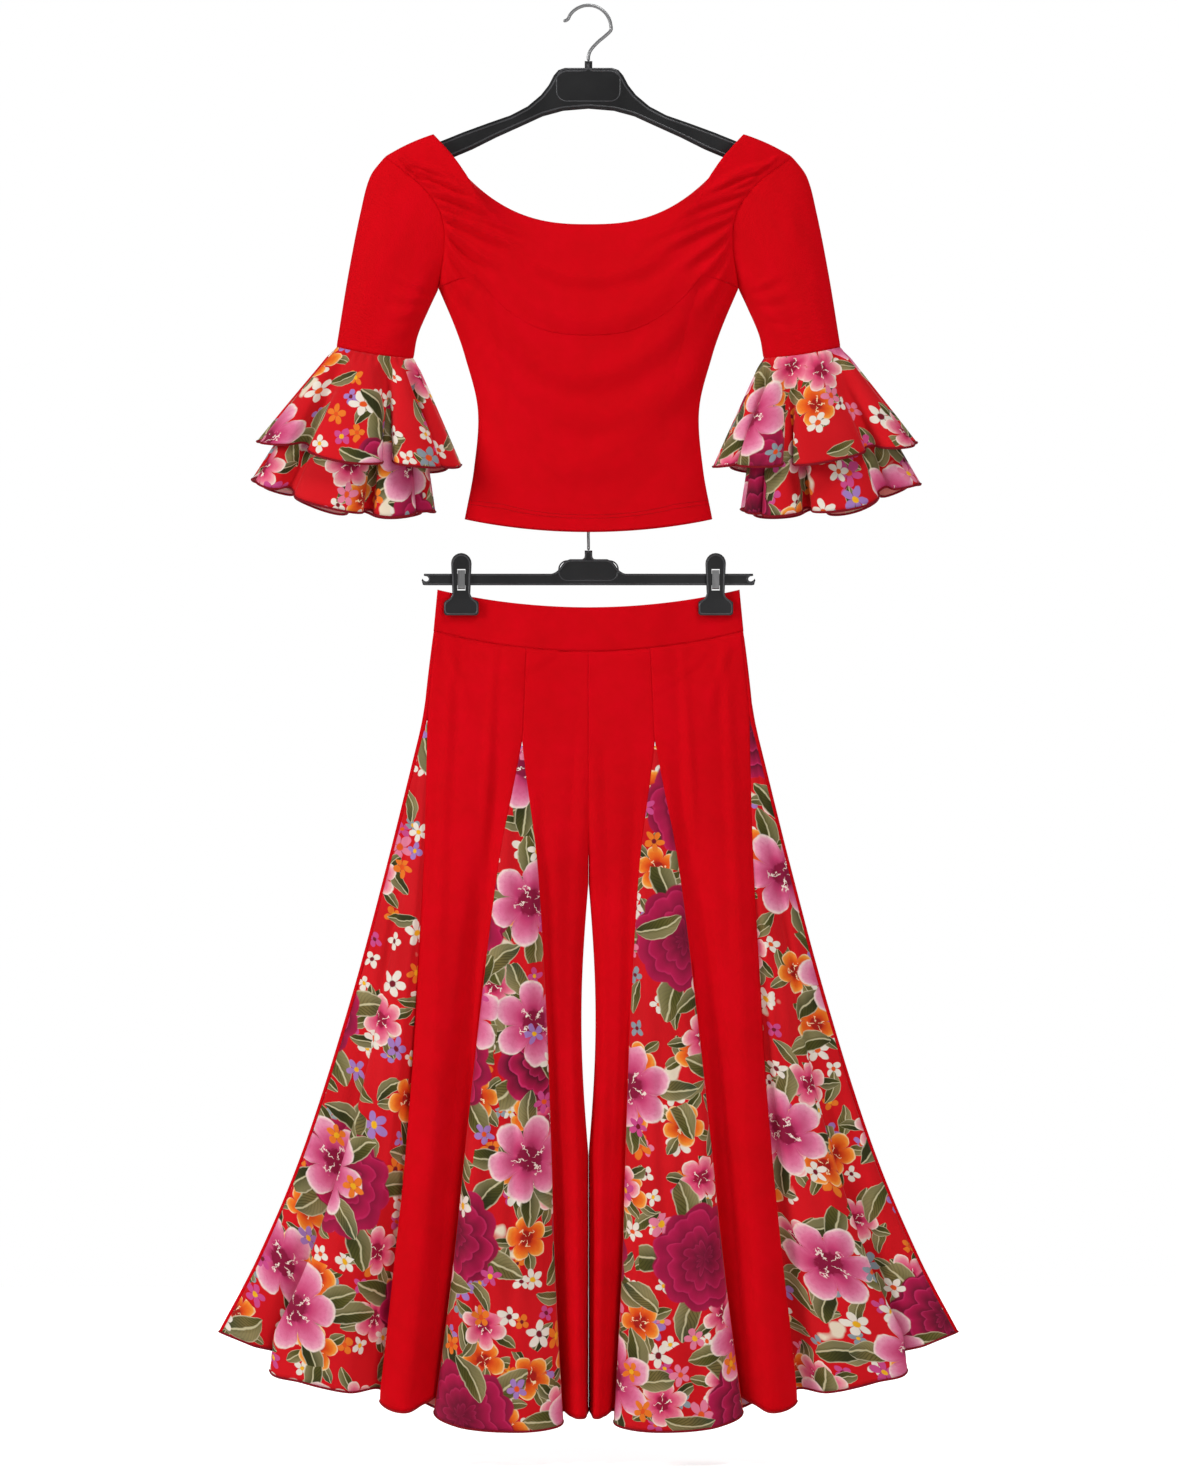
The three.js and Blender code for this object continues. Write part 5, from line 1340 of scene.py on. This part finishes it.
def hem_stitches():
    """Two rows of stitches above the hem of the top, front and back."""
    at, along, out = [], [], []
    for points in hem_lines:
        look = FRONT if points[..., 1].mean() < 0 else BACK
        normals = outward(points, toward=look)
        middle = points[:, points.shape[1] // 2]
        run = np.concatenate([[0], np.cumsum(np.linalg.norm(np.diff(middle, axis=0), axis=-1))])
        for above in HEM_ROWS:
            j = np.interp(above, run, np.arange(len(run)))
            low = int(j)
            path = mix(points[low], points[low + 1], j - low)
            face = normals[low]
            places, way, marks, length = walk(path, HEM_SPACING, inset=1.0)
            side = np.stack([np.interp(marks, length, face[:, k]) for k in range(3)], -1)
            at.append(places + unit(side) * (CLOTH / 2 + 0.02))
            along.append(way)
            out.append(unit(side))
    stitches("hem_stitches", at, along, out, *HEM_THREAD_SIZE, RED_THREAD, "red_jersey")


hem_stitches()

for obj, node, wide, long, area, held in SHEETS:
    box_share = area / (wide * long)
    print(f"SHEET {node} {wide:.3f} x {long:.3f} m, {area:.4f} m2, share {box_share:.2f}")

# ---------------------------------------------------------------- hangers

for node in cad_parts:
    obj = bpy.data.objects.get(node)
    if obj is None or obj.type != "MESH":
        continue
    finish = None
    if "hanger" in node and not node.endswith("hook") or "lever" in node:
        finish = PLASTIC
    elif "pad" in node:
        finish = RUBBER
    elif "hook" in node or "spring" in node:
        finish = STEEL
    if finish is not None:
        for slot in obj.material_slots:
            slot.material = finish

HOOK_INNER, HOOK_HEIGHT = 24.5, 64
HOOK_BEND = table("x up", (0, 6), (2.6, 13), (11, 22.5), (20.5, 30.5))
HOOK_FROM, HOOK_TO, HOOK_TIP_OUT, HOOK_TIP_UP = -6, 158, 1.12, 0.28
LOW_COLLAR, LOW_STEM = -640.7, 16


def flat_tube(name, path, radius, sides, material, closed=False):
    """A round wire along a path that lies in a plane of one y, in mm. Its ends are rounded."""
    path = np.array(path, float)
    size = np.full(len(path), radius, float)
    if not closed:
        run = np.concatenate([[0], np.cumsum(np.linalg.norm(np.diff(path, axis=0), axis=-1))])
        left = np.minimum(run, run[-1] - run)
        size = radius * np.sqrt(np.clip(1 - (1 - np.minimum((left + 0.02) / radius, 1)) ** 2, 0, 1))
    ahead = np.roll(path, -1, axis=0) if closed else np.concatenate([path[1:], path[-1:]])
    behind = np.roll(path, 1, axis=0) if closed else np.concatenate([path[:1], path[:-1]])
    way = unit(ahead - behind)
    side = np.stack([-way[:, 2], 0 * way[:, 0], way[:, 0]], -1)
    angles = np.arange(sides) * TAU / sides
    ring = side[:, None] * np.cos(angles)[None, :, None] + BACK * np.sin(angles)[None, :, None]
    vertices = (path[:, None] + size[:, None, None] * ring).reshape(-1, 3)
    faces = tube_faces(len(path), sides, closed)
    obj = smooth_mesh(name, vertices, faces, [0] * len(faces), [material])
    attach(obj, "root")
    return obj


def hook(node, wire, straight, lift, y):
    """The wire of a hook: straight out of the collar, to the side and over to a turned-up tip."""
    radius = HOOK_INNER + wire / 2
    arc = np.radians(np.linspace(HOOK_FROM, HOOK_TO, 13))
    x = np.concatenate([[0, 0], HOOK_BEND["x"], radius * np.cos(arc), [-radius * HOOK_TIP_OUT]])
    z = np.concatenate([
        [0.3 - HOOK_HEIGHT - straight, -HOOK_HEIGHT - straight * 0.5 + 1], HOOK_BEND["up"] - HOOK_HEIGHT,
        radius * np.sin(arc) - HOOK_INNER, [radius * HOOK_TIP_UP - HOOK_INNER],
    ])
    run = np.concatenate([[0], np.cumsum(np.hypot(np.diff(x), np.diff(z)))])
    place = np.linspace(0, run[-1], 150)
    place[0], place[-1] = 0, run[-1]
    place = np.insert(place, [1, -1], [0.3, run[-1] - 0.3])
    path = np.stack([curve(run, x, place), np.full(len(place), y), curve(run, z, place) + lift], -1)
    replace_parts(flat_tube(f"{node}_wire", path, wire / 2, 18, STEEL), node)


hook("top_hanger_hook", 4, 0, 0, 0)
hook("trouser_hanger_hook", 3.4, LOW_STEM, LOW_COLLAR + HOOK_HEIGHT + LOW_STEM, TROUSERS_Y)


def rounded(half_x, half_z, x, z, radius):
    """A rectangle with round corners, as points (x, z) all round."""
    out = []
    for k, (sx, sz) in enumerate(((1, 1), (-1, 1), (-1, -1), (1, -1))):
        turn = np.radians(90 * k + np.linspace(0, 90, 9))
        corner_x, corner_z = x + sx * (half_x - radius), z + sz * (half_z - radius)
        out.append(np.stack([corner_x + radius * np.cos(turn), corner_z + radius * np.sin(turn)], -1))
    return np.concatenate(out)


def bead(name, outline, y, radius=1.2):
    path = np.stack([outline[:, 0], np.full(len(outline), y), outline[:, 1]], -1)
    # The bead is drawn in the lighter plastic: a painted highlight along the rim.
    flat_tube(name, path, radius, 8, PLASTIC_HIGHLIGHT, closed=True)


def front_outline(node, inset):
    """The front outline of a flat part of the frame, moved inwards, and the y of its front face."""
    obj = bpy.data.objects[node]
    world = np.array(obj.matrix_world)
    points = np.array([vertex.co for vertex in obj.data.vertices]) @ world[:3, :3].T + world[:3, 3]
    points = np.round(points / MM, 3)
    y = points[:, 1].min()
    edges = {}
    for polygon in obj.data.polygons:
        ids = [tuple(points[k]) for k in polygon.vertices]
        if all(abs(p[1] - y) < 0.02 for p in ids):
            for a, b in zip(ids, ids[1:] + ids[:1]):
                if (b, a) in edges:
                    del edges[(b, a)]
                else:
                    edges[(a, b)] = True
    after = {a: b for a, b in edges}
    loops = []
    while after:
        start = next(iter(after))
        loop, at = [], start
        while at in after:
            loop.append(at)
            at = after.pop(at)
        loops.append(np.array(loop)[:, [0, 2]])
    loop = max(loops, key=lambda ring: np.ptp(ring[:, 0]))
    steps = np.roll(loop, -1, axis=0) - loop
    loop = loop[np.hypot(*steps.T) > 0.01]
    dense = []
    for a, b in zip(loop, np.roll(loop, -1, axis=0)):
        pieces = max(int(np.hypot(*(b - a)) / 2.0), 1)
        dense.extend(a + (b - a) * k / pieces for k in range(pieces))
    loop = np.array(dense)
    way = np.roll(loop, -1, axis=0) - np.roll(loop, 1, axis=0)
    way = way / np.maximum(np.hypot(*way.T), 1e-9)[:, None]
    area = np.sum(loop[:, 0] * np.roll(loop[:, 1], -1) - np.roll(loop[:, 0], -1) * loop[:, 1])
    moved = loop + np.sign(area) * inset * np.stack([-way[:, 1], way[:, 0]], -1)
    for _ in range(3):
        moved = (np.roll(moved, 1, axis=0) + 2 * moved + np.roll(moved, -1, axis=0)) / 4
    return moved, y


# How far in from the edge each rim lies, and its plaque: half width, half height, x, z, corner radius
RIMS = (
    ("top_hanger", 1.4, (37.5, 19, 0, -92.5, 12)),
    ("trouser_hanger", 1.3, (35, 11.5, 0, -664.5, 10)),
    ("clip_lever_front_left", 1.5, None),
    ("clip_lever_front_right", 1.5, None),
)
RIM_SUNK, PLAQUE_SUNK, PLAQUE_LINE = 0.45, 0.5, 0.9

for node, inset, plaque in RIMS:
    outline, face_y = front_outline(node, inset)
    bead(f"{node}_rim", outline, face_y + RIM_SUNK)
    if plaque:
        bead(f"{node}_plaque", rounded(*plaque), face_y + PLAQUE_SUNK, PLAQUE_LINE)

# ---------------------------------------------------------------- stage, light and camera

ROOM_LIGHT, FLOOR_GLOW = 0.15, 0.62
FLOOR_HALF, FLOOR_Z = 2.3, -1.72  # in metres


def plane(name, size, height, material):
    """A level square that faces up, in metres."""
    mesh = bpy.data.meshes.new(name)
    corners = [(x * size, y * size, height) for x, y in ((-1, -1), (1, -1), (1, 1), (-1, 1))]
    mesh.from_pydata(corners, [], [(0, 1, 2, 3)])
    mesh.materials.append(material)
    obj = bpy.data.objects.new(name, mesh)
    bpy.context.scene.collection.objects.link(obj)
    return obj


PAPER, paper_nodes, paper_shader = new_material("pale_floor", Roughness=0.9)
paper_shader.inputs["Base Color"].default_value = linear("#fbfbfb")
paper_shader.inputs["Emission Color"].default_value = (1, 1, 1, 1)
to_camera = paper_nodes.add("ShaderNodeLightPath").outputs["Is Camera Ray"]
glow = paper_nodes.math("MULTIPLY", to_camera, FLOOR_GLOW)
paper_nodes.tree.links.new(glow, paper_shader.inputs["Emission Strength"])
plane("floor", FLOOR_HALF, FLOOR_Z, PAPER)

bpy.context.scene.view_settings.view_transform = "Standard"
world = bpy.data.worlds.new("studio")
bpy.context.scene.world = world
world.use_nodes = True
studio = Nodes(world.node_tree)
sky = world.node_tree.nodes["Background"]
sky.inputs["Color"].default_value = (1, 1, 1, 1)
seen = studio.add("ShaderNodeLightPath").outputs["Is Camera Ray"]
world.node_tree.links.new(studio.math("MAXIMUM", seen, ROOM_LIGHT), sky.inputs["Strength"])


def softbox(name, place, aim, size, power):
    """A square light at a place, turned to its aim, in metres and watts."""
    light = bpy.data.lights.new(name, "AREA")
    light.shape = "RECTANGLE"
    light.size, light.size_y = size
    light.energy = power
    obj = bpy.data.objects.new(name, light)
    bpy.context.scene.collection.objects.link(obj)
    obj.location = place
    way = np.array(aim, float) - np.array(place, float)
    flat = math.hypot(way[0], way[1])
    obj.rotation_euler = (math.atan2(flat, -way[2]), 0, math.atan2(way[1], way[0]) - math.pi / 2)


softbox("key", (-3.3, -1.6, 0.5), (0, 0, -0.8), (1.0, 1.4), 84)
softbox("top", (0.9, -1.7, 2.2), (0, 0, -0.6), (1.0, 1.0), 48)
softbox("fill", (2.3, -4.2, -0.8), (0, 0, -1.05), (2.0, 2.4), 52)
softbox("back", (0.5, 4.0, 1.5), (0, 0, -0.8), (3, 3), 110)

MM_PER_PIXEL = 1.18
VIEW_CENTRE = ((589.5 - 588.5) * MM_PER_PIXEL * MM, (7 - 733.5) * MM_PER_PIXEL * MM)
FOCAL, SENSOR, PHOTO_HEIGHT = 150.0, 36.0, 1467
camera = bpy.data.cameras.new("camera")
camera.lens = FOCAL
camera.sensor_width = SENSOR
camera.sensor_fit = "AUTO"
distance = PHOTO_HEIGHT * MM_PER_PIXEL * MM * FOCAL / SENSOR
camera.clip_end = 100
view = bpy.data.objects.new("camera", camera)
bpy.context.scene.collection.objects.link(view)
view.location = (VIEW_CENTRE[0], -distance, VIEW_CENTRE[1])
view.rotation_euler = (math.pi / 2, 0, 0)
bpy.context.scene.camera = view
